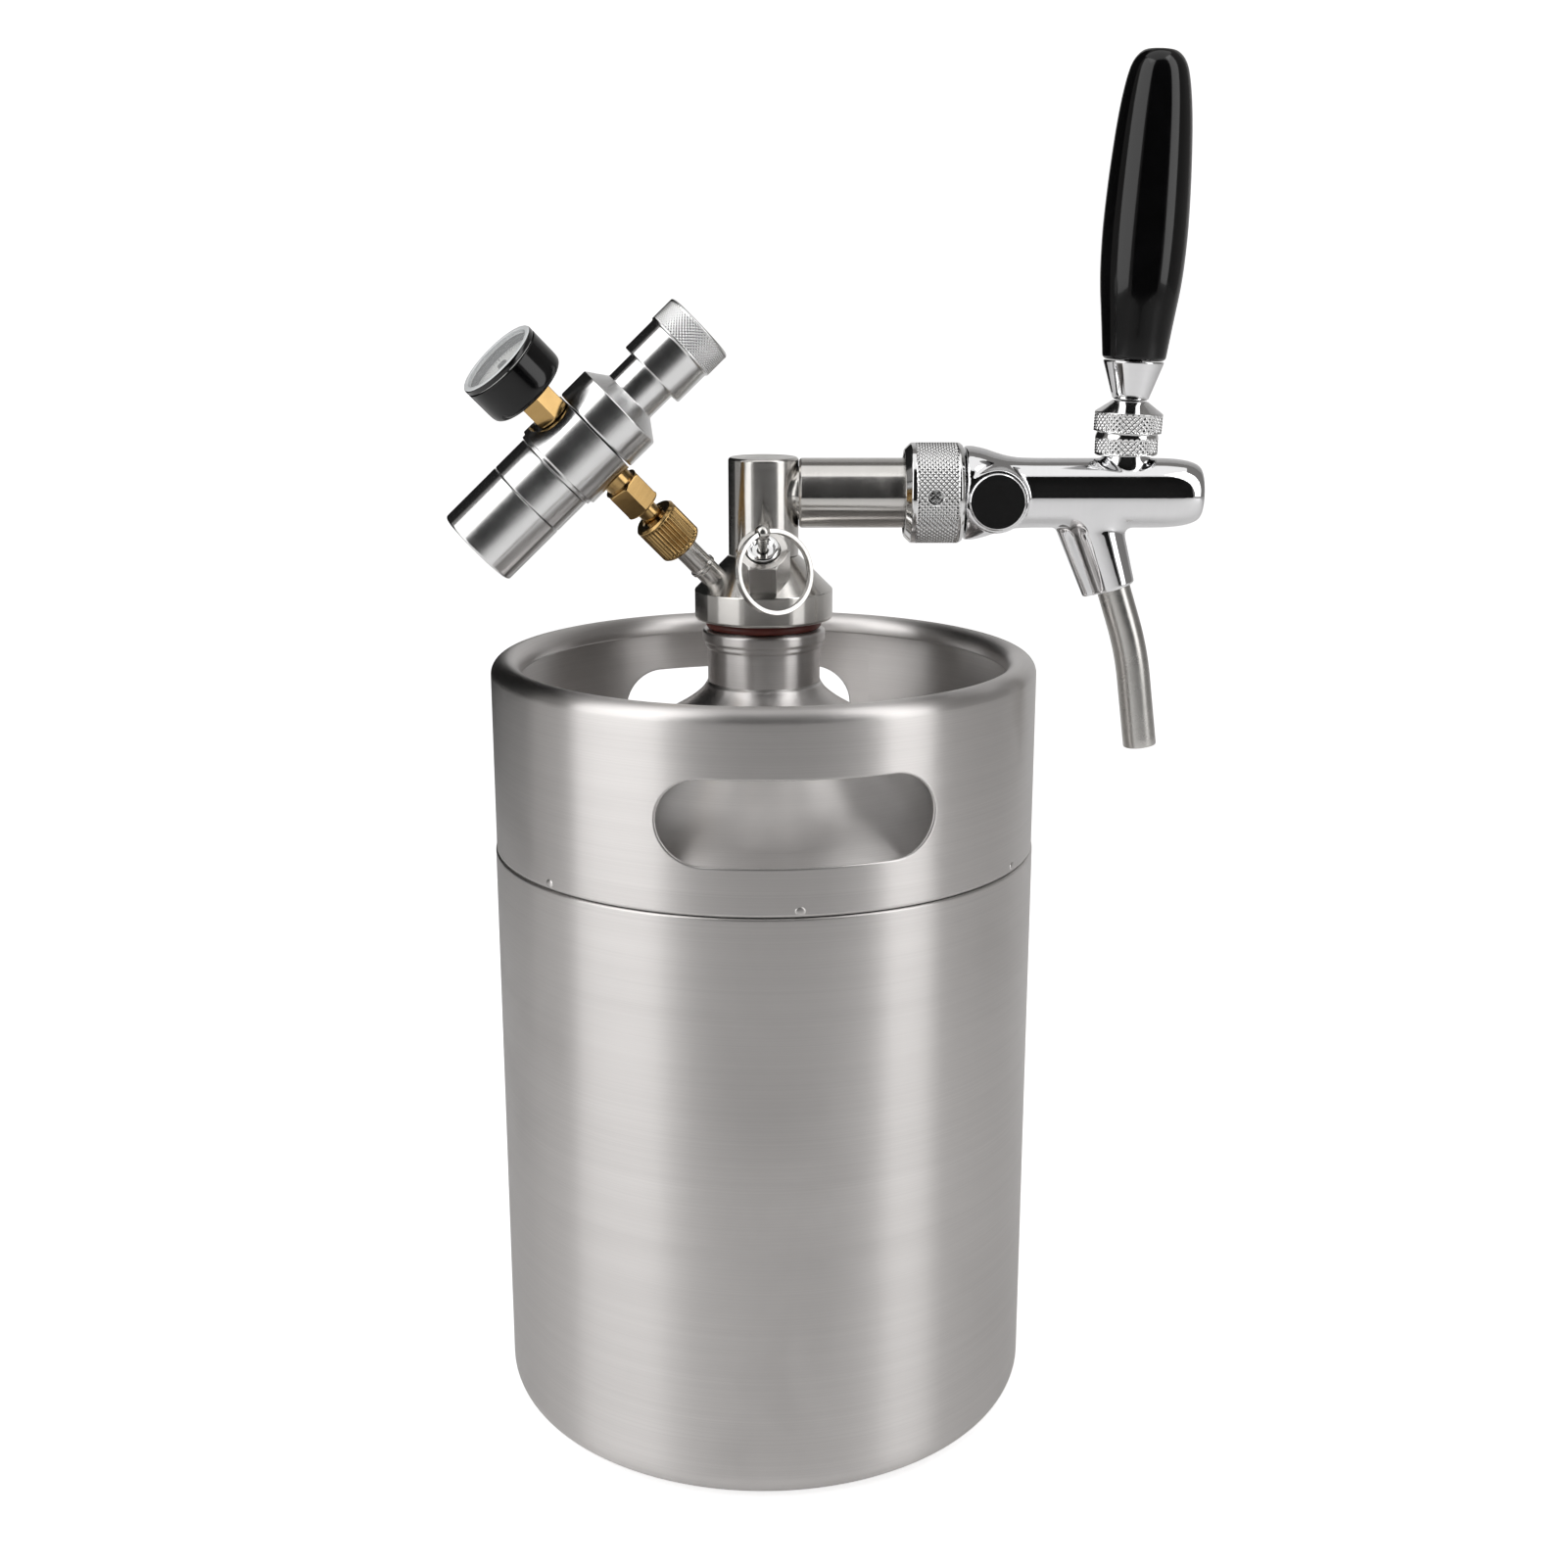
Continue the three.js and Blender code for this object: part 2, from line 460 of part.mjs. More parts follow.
// ---- bonnet: knurled ring with a domed top that the lever collar rides over ----
const bonnetRadius = 9.4;
const domeRadius = 9.75;
const domeStart = THREE.MathUtils.radToDeg(Math.acos(bonnetRadius / domeRadius));
const domeEnd = 28; // degrees above level where the dome opens for the stem's swing
function tapBonnet() {
  return moved(turned([[7, 302.9], [9.1, 302.9], [bonnetRadius, 303.2],
    ...arc(0, leverZ, domeRadius, domeStart, domeEnd, 3),
    ...arc(0, leverZ, 7.4, domeEnd, 19, 2), [7, leverZ + 2.4]], 24), leverX, 0, 0);
}
add(keg, 'tap_bonnet', tapBonnet(), chrome());
add(keg, 'ball_seat', moved(tube(6.7, ballRadius + 0.25, bossTop + gap, bossTop + 2.6, 12), leverX, 0, 0),
  plastic(0xe8e4da, 0.5));

// ---- handle and its lever, built about the pivot ----
const stemRadius = 2.6;
const leverGeometry = join(
  closed(new THREE.SphereGeometry(ballRadius, 12, 8).rotateX(Math.PI / 2)),
  tube(stemRadius, 0, 0, 38, 8),
  tube(1.3, 0, -pinDrop, 0, 10),
  closed(new THREE.SphereGeometry(1.9, 8, 6).translate(0, 0, -pinDrop)),
);
add(lever, 'tap_lever', leverGeometry, polishedSteel());
const collarOuter = 10.15;
const cup = domeRadius + gap;
const cupStart = THREE.MathUtils.radToDeg(Math.asin(3.9 / cup));
add(lever, 'lever_collar', turned([...arc(0, 0, cup, cupStart, 73, 5), [stemRadius + gap, 9.7],
  [stemRadius + gap, 13.2], [5.2, 13.2], [collarOuter, 9.7], [collarOuter, 3.9]], 20), chrome());
add(lever, 'handle_ferrule', turned([[stemRadius + gap, 13.5], [4.9, 13.5], [5.4, 13.9], [9, 24.9],
  [stemRadius + gap, 24.9]], 16), chrome());
const grip = [[9.5, 26.6], [10.7, 37], [12.1, 48], [12.5, 60], [12.3, 70], [11.66, 82.6], [10.6, 95.6],
  [9, 105.5], [7.6, 108.7], [5.4, 110.9], [2.6, 112.3], [0, 112.7]];
add(lever, 'tap_handle', turned([[4.9, 25.2], [8.7, 25.2], ...grip, [0, 42], [4.9, 42]], 16),
  plastic(0x0c0c0d, 0.12));
add(lever, 'handle_insert', tube(4.6, stemRadius + gap, 25.5, 41, 12), brass());

// ---- regulator, built about the crossing of its own axis (Z) and the gas axis (X towards the gauge) ----
const sleeveRadius = 12.65;
const bodyRadius = 14.1;
const socketBore = 10.4;
add(regulator, 'cartridge_sleeve', turned([[socketBore, -42.7], [sleeveRadius - 0.5, -42.7],
  [sleeveRadius, -42.2], [sleeveRadius, -22.6], [socketBore, -22.6]], 20), aluminium());
add(regulator, 'inlet_body', turned([[socketBore, -22.3], [sleeveRadius, -22.3], [sleeveRadius, -11.1],
  [9.8, -11.1], [9.8, -16.6], [5.6, -16.6], [5.6, -19.4], [socketBore, -19.4]], 20), aluminium());
add(regulator, 'piercing_pin', turned([[0.5, -24], [1.2, -22], [1.2, -18.8], [4.6, -18.8], [4.6, -16.6],
  [0.5, -16.6]], 8), brass());
add(regulator, 'pin_seal', tube(4.6, 1.6, -20.6, -19.1, 12), rubber(0x202020));

const spotFace = 11.9;
const portRoom = 3.35;
function regulatorBody() {
  const shell = turned([[2.6, -16.2], [9.5, -16.2], [9.5, -10.8], [13.3, -10.8], [13.3, -9.6],
    [bodyRadius, -9.4],
    [bodyRadius, 5.2], [11.6, 5.2], [11.6, 4.2], [2.6, 4.2]], 24);
  const spots = [0, Math.PI].map((turn) => alongX(tube(7.6, 0, spotFace, 16, 12)).rotateZ(turn));
  const port = alongX(tube(portRoom, 0, -16, 16, 12));
  return cut(shell, ...spots, port);
}
add(regulator, 'regulator_body', regulatorBody(), aluminium());
add(regulator, 'regulator_bonnet', turned([[11.6, 5.6], [bodyRadius - 0.4, 5.6], [bodyRadius, 6],
  [bodyRadius, 15.2], [8.3, 19.4], [8.3, 35], [4.3, 35], [4.3, 22.4], [6.6, 22.4], [6.6, 13],
  [11.6, 13]], 24),
aluminium());
add(regulator, 'valve_poppet', turned([[0, -8.4], [2.2, -8.4], [2.2, -7], [1.3, -7], [1.3, 4],
  [0, 4]], 14), brass());
add(regulator, 'poppet_spring', spring(1.8, 0.3, -15.8, -8.8, 4), springSteel());
add(regulator, 'diaphragm', tube(11.3, 0, 4.5, 5.3, 16), rubber(0x303030));
add(regulator, 'spring_plate', tube(5.8, 0, 5.7, 7.2, 12), brass());
add(regulator, 'range_spring', spring(4.6, 0.75, 7.5, 19.2, 5), springSteel());
add(regulator, 'spring_button', tube(5.8, 0, 19.5, 20.9, 12), brass());
add(regulator, 'adjust_screw', tube(3.9, 0, 21.3, 42.5, 12), polishedSteel());
add(regulator, 'adjust_knob', turned([[8.8, 28.2], [10.5, 28.2], [10.75, 28.5], [10.75, 39.2],
  [11.25, 39.5],
  [11.25, 47.2], [10.6, 47.8], [0, 47.8], [0, 42.8], [4.2, 42.8], [4.2, 36], [8.8, 36]], 20), aluminium());

// Gauge: brass stem, cupped case, dial, needle, lens and bezel, all turned about the gas axis.
const caseBack = 21.6;
const gaugeFront = 35.3;
const gaugeRadius = 12.75;
add(regulator, 'gauge_stem', cut(alongX(join(tube(3, 0, 5, 12.6, 12), hexagon(10, 12.2, 21.2, 30),
  tube(3, 0, 21, 24, 12))), alongX(tube(1, 0, 4, 25, 10))), brass());
add(regulator, 'gauge_case', alongX(turned([[3.3, caseBack], [10.2, caseBack], [12.1, caseBack + 0.8],
  [gaugeRadius, caseBack + 2.6], [gaugeRadius, 33.2], [11.8, 33.2], [11.8, caseBack + 1.6],
  [3.3, caseBack + 1.6]], 20)), plastic(0x101012, 0.2));
add(regulator, 'gauge_bezel', alongX(turned([[11, 33.5], [gaugeRadius, 33.5], [gaugeRadius, 34.8],
  [12.3, gaugeFront], [11, gaugeFront]], 20)), plastic(0xe8e8e8, 0.25));
add(regulator, 'gauge_lens', alongX(tube(10.7, 0, 33.8, 34.9, 16)), plastic(0xf4f4f6, 0.05));
add(regulator, 'gauge_dial', alongX(tube(11.5, 0.9, 31, 31.6, 16)), plastic(0xf2f2f0, 0.5));
function gaugeNeedle() {
  const pointer = prism([[-1.1, -2.6], [1.1, -2.6], [0.35, 8.6], [-0.35, 8.6]], 32.2, 32.7);
  return alongX(join(pointer, tube(1.6, 0, 32.1, 33, 8), tube(0.6, 0, 29, 32.4, 10)));
}
add(regulator, 'gauge_needle', gaugeNeedle(), plastic(0x181818, 0.4));
const bourdonBand = [...arc(0, 0, 9.2, 0, 250, 8), ...arc(0, 0, 7.6, 250, 0, 8)];
add(regulator, 'bourdon_tube', alongX(prism(bourdonBand, 24.6, 28.2)), brass());

// Outlet: hex fitting with a flanged tail held by the knurled swivel nut.
add(regulator, 'outlet_fitting', cut(alongX(join(
  tube(3, 0, 5, 13, 12), tube(4.4, 0, 12.3, 16.7, 12), hexagon(10.7, 16.6, 26.1, 30),
  tube(3.1, 0, 26, 33, 12), tube(4.9, 0, 32.8, 34.9, 12),
)), alongX(tube(1.2, 0, 4, 36, 10))).rotateZ(Math.PI), brass());
add(regulator, 'nut_washer', alongX(tube(4.9, 1.6, 35.2, 36.2, 12)).rotateZ(Math.PI), rubber(0x202020));
add(regulator, 'swivel_nut', alongX(turned([[3.5, 30.8], [6.2, 30.8], [6.95, 31.6], [6.95, 43], [6.2, 43.8],
  [5.5, 43.8], [5.5, 32.4], [3.5, 32.4]], 16)).rotateZ(Math.PI), brass());

keg.add(relief, gas, regulator, pullRing, lever);

export default keg;
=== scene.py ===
import json
import math
import bmesh
import bpy
import numpy as np
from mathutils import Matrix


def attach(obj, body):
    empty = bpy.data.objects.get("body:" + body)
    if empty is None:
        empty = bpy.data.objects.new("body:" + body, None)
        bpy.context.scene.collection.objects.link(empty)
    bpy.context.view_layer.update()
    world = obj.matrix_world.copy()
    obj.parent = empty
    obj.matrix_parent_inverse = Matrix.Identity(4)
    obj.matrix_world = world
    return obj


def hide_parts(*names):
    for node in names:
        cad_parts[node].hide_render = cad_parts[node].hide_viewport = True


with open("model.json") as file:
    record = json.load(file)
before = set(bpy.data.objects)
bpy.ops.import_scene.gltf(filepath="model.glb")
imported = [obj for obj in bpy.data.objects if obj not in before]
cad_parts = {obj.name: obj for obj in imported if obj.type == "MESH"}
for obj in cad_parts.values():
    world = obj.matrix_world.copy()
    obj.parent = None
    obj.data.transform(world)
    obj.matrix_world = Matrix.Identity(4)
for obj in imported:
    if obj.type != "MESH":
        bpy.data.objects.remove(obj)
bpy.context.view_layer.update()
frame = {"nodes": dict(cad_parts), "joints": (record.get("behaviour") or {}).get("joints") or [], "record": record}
joints = {j["name"]: j for j in frame["joints"]}
print("frame loaded:", len(frame["nodes"]), "nodes")


# Where a joint sits, in millimetres, and the direction of its axis.
def jointPoint(name):
    return np.array(joints[name]["pos_m"], float) * 1000.0


def jointAxis(name):
    axis = np.array(joints[name]["axis"], float)
    return axis / np.linalg.norm(axis)


# A place to build in: an origin, its own Z direction, and X squared up against Z.
def axesAt(origin, zWay, xWay):
    z = np.array(zWay, float) / np.linalg.norm(zWay)
    x = np.array(xWay, float) - z * np.dot(xWay, z)
    x = x / np.linalg.norm(x)
    return np.array(origin, float), np.stack([x, np.cross(z, x), z], 1)


upright = axesAt((0, 0, 0), (0, 0, 1), (1, 0, 0))
armHeight = jointPoint("nut_turn")[2]
arm = axesAt((0, 0, armHeight), (1, 0, 0), (0, 0, 1))
gasWay = jointAxis("regulator_swing")
gas = axesAt((0, 0, 250.18), gasWay, (0, 0, 1))
regCentre = jointPoint("regulator_swing")
regWay = jointAxis("knob_turn")
regulator = axesAt(regCentre, regWay, gasWay)
gaugeAxes = axesAt(regCentre, gasWay, regWay)
outletAxes = axesAt(regCentre, -gasWay, regWay)
reliefWay = jointAxis("relief_pull")
relief = axesAt((0, 0, 253.1), reliefWay, (0, 1, 1))
eyePoint = jointPoint("ring_swing")
eyeLine = -jointAxis("ring_swing")
pivot = jointPoint("handle_tilt")
handleLean = math.radians(2.7)
handleWay = np.array([math.sin(handleLean), 0, math.cos(handleLean)])
lever = axesAt(pivot, handleWay, (1, 0, 0))
flowPoint = jointPoint("flow_turn") * np.array([1, 0, 1])
flowFront = axesAt(flowPoint, (0, -1, 0), (1, 0, 0))
flowBack = axesAt(flowPoint, (0, 1, 0), (1, 0, 0))


# Points on an arc: centre plus radius times the cosine and sine of evenly spaced angles.
def arcPoints(r, z, radius, startAngle, endAngle, steps):
    a = np.radians(np.linspace(startAngle, endAngle, steps + 1))
    return np.stack([r + radius * np.cos(a), z + radius * np.sin(a)], 1)


# Rounds an outline: each corner becomes the curve (1-t)^2 A + 2t(1-t) corner + t^2 B between points A and B
# set back along its sides, with one point just outside each so that the flats stay flat in the light.
def rounded(points, radius=0.3, steps=4, loop=True):
    p = np.asarray(points, float)
    toward = np.roll(p, 1, 0) - p
    onward = np.roll(p, -1, 0) - p
    lengthIn = np.maximum(np.linalg.norm(toward, axis=1), 1e-9)[:, None]
    lengthOut = np.maximum(np.linalg.norm(onward, axis=1), 1e-9)[:, None]
    back = toward / lengthIn * np.minimum(radius, 0.38 * lengthIn)
    forth = onward / lengthOut * np.minimum(radius, 0.38 * lengthOut)
    t = np.linspace(0, 1, steps + 1)[None, :, None]
    curve = (1 - t) ** 2 * (p + back)[:, None] + 2 * t * (1 - t) * p[:, None] + t ** 2 * (p + forth)[:, None]
    rows = np.concatenate([(p + 1.25 * back)[:, None], curve, (p + 1.25 * forth)[:, None]], 1)
    if loop:
        return rows.reshape(-1, 2)
    return np.concatenate([p[:1], rows[1:-1].reshape(-1, 2), p[-1:]])


# A flowing line: quadratic curves from the middle of one side to the middle of the next, ends kept.
def flowing(points, steps=6):
    p = np.asarray(points, float)
    middle = (p[:-1] + p[1:]) / 2
    a, b, c = middle[:-1, None], p[1:-1, None], middle[1:, None]
    t = np.linspace(0, 1, steps + 1)[None, :-1, None]
    curve = ((1 - t) ** 2 * a + 2 * t * (1 - t) * b + t ** 2 * c).reshape(-1, 2)
    return np.concatenate([p[:1], curve, middle[-1:], p[-1:]])


# Faces of a grid of rows by columns; columns always close on themselves, rows close when asked.
def gridFaces(rows, columns, closeRows):
    i = np.arange(rows if closeRows else rows - 1)[:, None]
    j = np.arange(columns)[None, :]
    nextI, nextJ = (i + 1) % rows, (j + 1) % columns
    quads = np.stack([i * columns + j, i * columns + nextJ, nextI * columns + nextJ, nextI * columns + j], -1)
    u = np.stack([j, j + 1, j + 1, j], -1) / columns + 0.0 * i[..., None]
    return quads.reshape(-1, 4), u.reshape(-1, 4), i, j


# Turns an outline of (radius, height) round the local Z: point (i, j) is outline point i at angle j.
# reshape(radius, angle, height) may change the radius, for knurls and flats. angles may be uneven.
def turned(outline, around=96, place=upright, reshape=None, angles=None, loop=True):
    outline = np.asarray(outline, float)
    angle = np.arange(around) * 2 * math.pi / around if angles is None else np.asarray(angles, float)
    radius = np.repeat(outline[:, :1], len(angle), 1)
    height = np.repeat(outline[:, 1:], len(angle), 1)
    spread = np.repeat(angle[None, :], len(outline), 0)
    if reshape is not None:
        radius = reshape(radius, spread, height)
    local = np.stack([radius * np.cos(spread), radius * np.sin(spread), height], -1).reshape(-1, 3)
    quads, u, i, j = gridFaces(len(outline), len(angle), loop)
    steps = np.linalg.norm(np.roll(outline, -1, 0) - outline, axis=1)
    along = np.concatenate([[0], np.cumsum(steps)]) * 0.001
    v = np.stack([along[i], along[i], along[i + 1], along[i + 1]], -1) + 0.0 * j[..., None]
    origin, basis = place
    return local @ basis.T + origin, quads, np.stack([u, v.reshape(-1, 4)], -1)


# Angles bunched at the six corners of a hexagon, with flats facing the local X direction.
def hexAngles():
    within = np.radians([-30, -29.2, -27.5, -22, -8, 8, 22, 27.5, 29.2])
    return (np.arange(6)[:, None] * math.pi / 3 + within[None, :]).reshape(-1)


# The radius of a hexagon at an angle is half its width over the cosine of the angle from the nearest flat.
def hexLimit(acrossFlats, fromHeight, toHeight):
    def limit(radius, angle, height):
        off = (angle + math.pi / 6) % (math.pi / 3) - math.pi / 6
        flat = acrossFlats / 2 / np.cos(off)
        inside = (height >= fromHeight) & (height <= toHeight)
        return np.where(inside, np.minimum(radius, flat), radius)
    return limit


# Diamond knurl: two sets of V grooves wind opposite ways; the height is the distance to the nearer
# groove, cut flat near the top, and it fades out at both ends of the band.
def diamondKnurl(count, pitch, depth, fromHeight, toHeight, outerRadius):
    def press(radius, angle, height):
        a = angle * count / (2 * math.pi)
        b = (height - fromHeight) / pitch
        one = np.abs(((a + b) % 1.0) - 0.5) * 2
        two = np.abs(((a - b) % 1.0) - 0.5) * 2
        lift = np.minimum(np.minimum(1 - one, 1 - two) * 1.25, 0.8)
        fade = np.clip(np.minimum(height - fromHeight, toHeight - height) / (0.35 * pitch), 0, 1)
        onFace = (radius > outerRadius - 0.05) & (fade > 0)
        return np.where(onFace, radius - depth * (1 - lift / 0.8) * fade, radius)
    return press


# Straight knurl: the radius drops by a triangle wave of the angle inside a band of heights.
def straightKnurl(count, depth, fromHeight, toHeight, outerRadius):
    def press(radius, angle, height):
        wave = np.abs(((angle * count / (2 * math.pi)) % 1.0) - 0.5) * 2
        onFace = (radius > outerRadius - 0.05) & (height >= fromHeight) & (height <= toHeight)
        return np.where(onFace, radius - depth * np.clip(wave * 1.5 - 0.3, 0, 1), radius)
    return press


# Evenly spaced points from one height to another at one radius, for a knurled band.
def band(radius, fromHeight, toHeight, step):
    rows = int(round((toHeight - fromHeight) / step)) + 1
    return np.stack([np.full(rows, radius), np.linspace(fromHeight, toHeight, rows)], 1)


# A flattened ball: radii times the sines and cosines of latitude and longitude.
def ballShape(centre, radii, rows=24, columns=36, basis=np.eye(3)):
    lat = np.linspace(-math.pi / 2, math.pi / 2, rows)[:, None]
    lon = np.arange(columns)[None, :] * 2 * math.pi / columns
    local = np.stack([radii[0] * np.cos(lat) * np.cos(lon), radii[1] * np.cos(lat) * np.sin(lon),
                      radii[2] * np.sin(lat) + 0 * lon], -1).reshape(-1, 3)
    quads, u, i, j = gridFaces(rows, columns, False)
    v = np.stack([i, i, i + 1, i + 1], -1) * (radii[2] * 0.003 / rows) + 0.0 * j[..., None]
    return local @ basis.T + np.asarray(centre, float), quads, np.stack([u, v.reshape(-1, 4)], -1)


# A round section of changing radius carried along a path: centre plus radius times
# (cosine of angle times one side direction plus sine of angle times the other).
def carried(path, radii, around=48, sideWay=(0, 1, 0), closeRows=True):
    path, radii = np.asarray(path, float), np.asarray(radii, float)
    tangent = np.gradient(path, axis=0)
    side = np.repeat(np.array([sideWay], float), len(path), 0)
    other = np.cross(tangent, side)
    other /= np.maximum(np.linalg.norm(other, axis=1), 1e-9)[:, None]
    a = np.arange(around) * 2 * math.pi / around
    ring = np.cos(a)[None, :, None] * side[:, None] + np.sin(a)[None, :, None] * other[:, None]
    points = path[:, None] + radii[:, None, None] * ring
    quads, u, i, j = gridFaces(len(path), around, closeRows)
    along = np.concatenate([[0], np.cumsum(np.linalg.norm(np.diff(path, axis=0), axis=1)), [0]]) * 0.001
    v = np.stack([along[i], along[i], along[i + 1], along[i + 1]], -1) + 0.0 * j[..., None]
    return points.reshape(-1, 3), quads, np.stack([u, v.reshape(-1, 4)], -1)


# Puts finished surfaces into one mesh: joined, turned outward by their signed volume, welded, shaded
# smooth, riding on a body and standing for its nodes.
def makePiece(name, surfaces, body, nodes, finish):
    points, quads, uvs, offset = [], [], [], 0
    for p, q, uv in surfaces:
        a, b, c, d = (p[q[:, k]] for k in range(4))
        volume = np.einsum("ij,ij->", a, np.cross(b, c) + np.cross(c, d))
        if volume < 0:
            q, uv = q[:, ::-1], uv[:, ::-1]
        points.append(p * 0.001)
        quads.append(q + offset)
        uvs.append(uv)
        offset += len(p)
    points, quads, uvs = np.concatenate(points), np.concatenate(quads), np.concatenate(uvs)
    mesh = bpy.data.meshes.new(name)
    mesh.vertices.add(len(points))
    mesh.vertices.foreach_set("co", points.astype(np.float32).ravel())
    mesh.loops.add(quads.size)
    mesh.loops.foreach_set("vertex_index", quads.astype(np.int32).ravel())
    mesh.polygons.add(len(quads))
    mesh.polygons.foreach_set("loop_start", np.arange(0, quads.size, 4, dtype=np.int32))
    mesh.uv_layers.new(name="surfaceMap").data.foreach_set("uv", uvs.astype(np.float32).ravel())
    mesh.update(calc_edges=True)
    work = bmesh.new()
    work.from_mesh(mesh)
    bmesh.ops.remove_doubles(work, verts=work.verts, dist=2e-6)
    bmesh.ops.dissolve_degenerate(work, dist=1e-7, edges=work.edges)
    work.to_mesh(mesh)
    work.free()
    mesh.polygons.foreach_set("use_smooth", np.ones(len(mesh.polygons), bool))
    mesh.materials.append(finish)
    piece = bpy.data.objects.new(name, mesh)
    bpy.context.scene.collection.objects.link(piece)
    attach(piece, body)
    if nodes:
        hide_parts(*nodes)
    return piece


# Small tools for building shader nodes.
def addSocket(tree, name, kind, way, value=None):
    socket = tree.interface.new_socket(name=name, in_out=way, socket_type=kind)
    if value is not None:
        socket.default_value = value


def addNode(tree, kind, inputs=None, **settings):
    node = tree.nodes.new(kind)
    for key, value in settings.items():
        setattr(node, key, value)
    for key, value in (inputs or {}).items():
        if isinstance(value, bpy.types.NodeSocket):
            tree.links.new(value, node.inputs[key])
        else:
            node.inputs[key].default_value = value
    return node


def doMath(tree, operation, a, b=0.0, clamp=False):
    return addNode(tree, "ShaderNodeMath", {0: a, 1: b}, operation=operation, use_clamp=clamp).outputs[0]


# Fine lines left by turning or brushing: noise squeezed along the outline's length, so that each line
# runs round the axis, broken up slowly by a second noise in space.
def makeTurningGroup():
    tree = bpy.data.node_groups.new("turningLines", "ShaderNodeTree")
    addSocket(tree, "Lines Per Metre", "NodeSocketFloat", "INPUT", 3000.0)
    addSocket(tree, "Break Up", "NodeSocketFloat", "INPUT", 40.0)
    addSocket(tree, "Line Height", "NodeSocketFloat", "OUTPUT")
    addSocket(tree, "Streak Mask", "NodeSocketFloat", "OUTPUT")
    ins, outs = tree.nodes.new("NodeGroupInput"), tree.nodes.new("NodeGroupOutput")
    uv = addNode(tree, "ShaderNodeUVMap", uv_map="surfaceMap")
    alongUv = addNode(tree, "ShaderNodeSeparateXYZ", {0: uv.outputs[0]}).outputs[1]
    space = addNode(tree, "ShaderNodeTexCoord").outputs["Object"]
    slow = addNode(tree, "ShaderNodeVectorMath", {0: space}, operation="SCALE")
    tree.links.new(ins.outputs["Break Up"], slow.inputs["Scale"])
    line = doMath(tree, "MULTIPLY", alongUv, ins.outputs["Lines Per Metre"])
    fine = addNode(tree, "ShaderNodeCombineXYZ", {0: line})
    mixed = addNode(tree, "ShaderNodeVectorMath", {0: fine.outputs[0], 1: slow.outputs[0]}, operation="ADD")
    noise = addNode(tree, "ShaderNodeTexNoise", {"Vector": mixed.outputs[0], "Scale": 1.0, "Detail": 3.0,
                                                 "Roughness": 0.65})
    coarse = addNode(tree, "ShaderNodeVectorMath", {0: mixed.outputs[0], 1: (0.09, 0.6, 0.6)},
                     operation="MULTIPLY")
    wide = addNode(tree, "ShaderNodeTexNoise", {"Vector": coarse.outputs[0], "Scale": 1.0, "Detail": 2.0})
    tree.links.new(noise.outputs[0], outs.inputs["Line Height"])
    tree.links.new(doMath(tree, "MULTIPLY_ADD", noise.outputs[0], 0.6, clamp=True), outs.inputs["Streak Mask"])
    tail = tree.links[-1].from_node
    tree.links.new(doMath(tree, "MULTIPLY", wide.outputs[0], 0.4), tail.inputs[2])
    return tree


# Faint handling marks: soft cloudy noise warped by another, given as a 0 to 1 mask.
def makeSmudgeGroup():
    tree = bpy.data.node_groups.new("handlingSmudges", "ShaderNodeTree")
    addSocket(tree, "Size", "NodeSocketFloat", "INPUT", 30.0)
    addSocket(tree, "Smudge Mask", "NodeSocketFloat", "OUTPUT")
    ins, outs = tree.nodes.new("NodeGroupInput"), tree.nodes.new("NodeGroupOutput")
    space = addNode(tree, "ShaderNodeTexCoord").outputs["Object"]
    noise = addNode(tree, "ShaderNodeTexNoise", {"Vector": space, "Detail": 6.0, "Roughness": 0.6,
                                                 "Distortion": 0.8})
    tree.links.new(ins.outputs["Size"], noise.inputs["Scale"])
    spread = addNode(tree, "ShaderNodeMapRange", {"Value": noise.outputs[0], "From Min": 0.42, "From Max": 0.72},
                     interpolation_type="SMOOTHSTEP")
    tree.links.new(spread.outputs[0], outs.inputs["Smudge Mask"])
    return tree


# Rubbed edges: the mesh's own convexity, sharpened and broken by noise, as a mask; and its hollows.
def makeEdgeGroup():
    tree = bpy.data.node_groups.new("rubbedEdges", "ShaderNodeTree")
    addSocket(tree, "Start", "NodeSocketFloat", "INPUT", 0.53)
    addSocket(tree, "Edge Mask", "NodeSocketFloat", "OUTPUT")
    addSocket(tree, "Hollow Mask", "NodeSocketFloat", "OUTPUT")
    ins, outs = tree.nodes.new("NodeGroupInput"), tree.nodes.new("NodeGroupOutput")
    sharp = addNode(tree, "ShaderNodeNewGeometry").outputs["Pointiness"]
    edge = addNode(tree, "ShaderNodeMapRange", {"Value": sharp, "From Min": ins.outputs["Start"], "From Max": 0.62})
    noise = addNode(tree, "ShaderNodeTexNoise",
                    {"Vector": addNode(tree, "ShaderNodeTexCoord").outputs["Object"], "Scale": 300.0})
    broken = doMath(tree, "MULTIPLY", edge.outputs[0], doMath(tree, "ADD", noise.outputs[0], 0.35), clamp=True)
    hollow = addNode(tree, "ShaderNodeMapRange", {"Value": sharp, "From Min": 0.49, "From Max": 0.43})
    tree.links.new(broken, outs.inputs["Edge Mask"])
    tree.links.new(hollow.outputs[0], outs.inputs["Hollow Mask"])
    return tree


turningLines, handlingSmudges, rubbedEdges = makeTurningGroup(), makeSmudgeGroup(), makeEdgeGroup()


def newMaterial(name):
    made = bpy.data.materials.new(name)
    made.use_nodes = True
    tree = made.node_tree
    return made, tree, tree.nodes["Principled BSDF"]


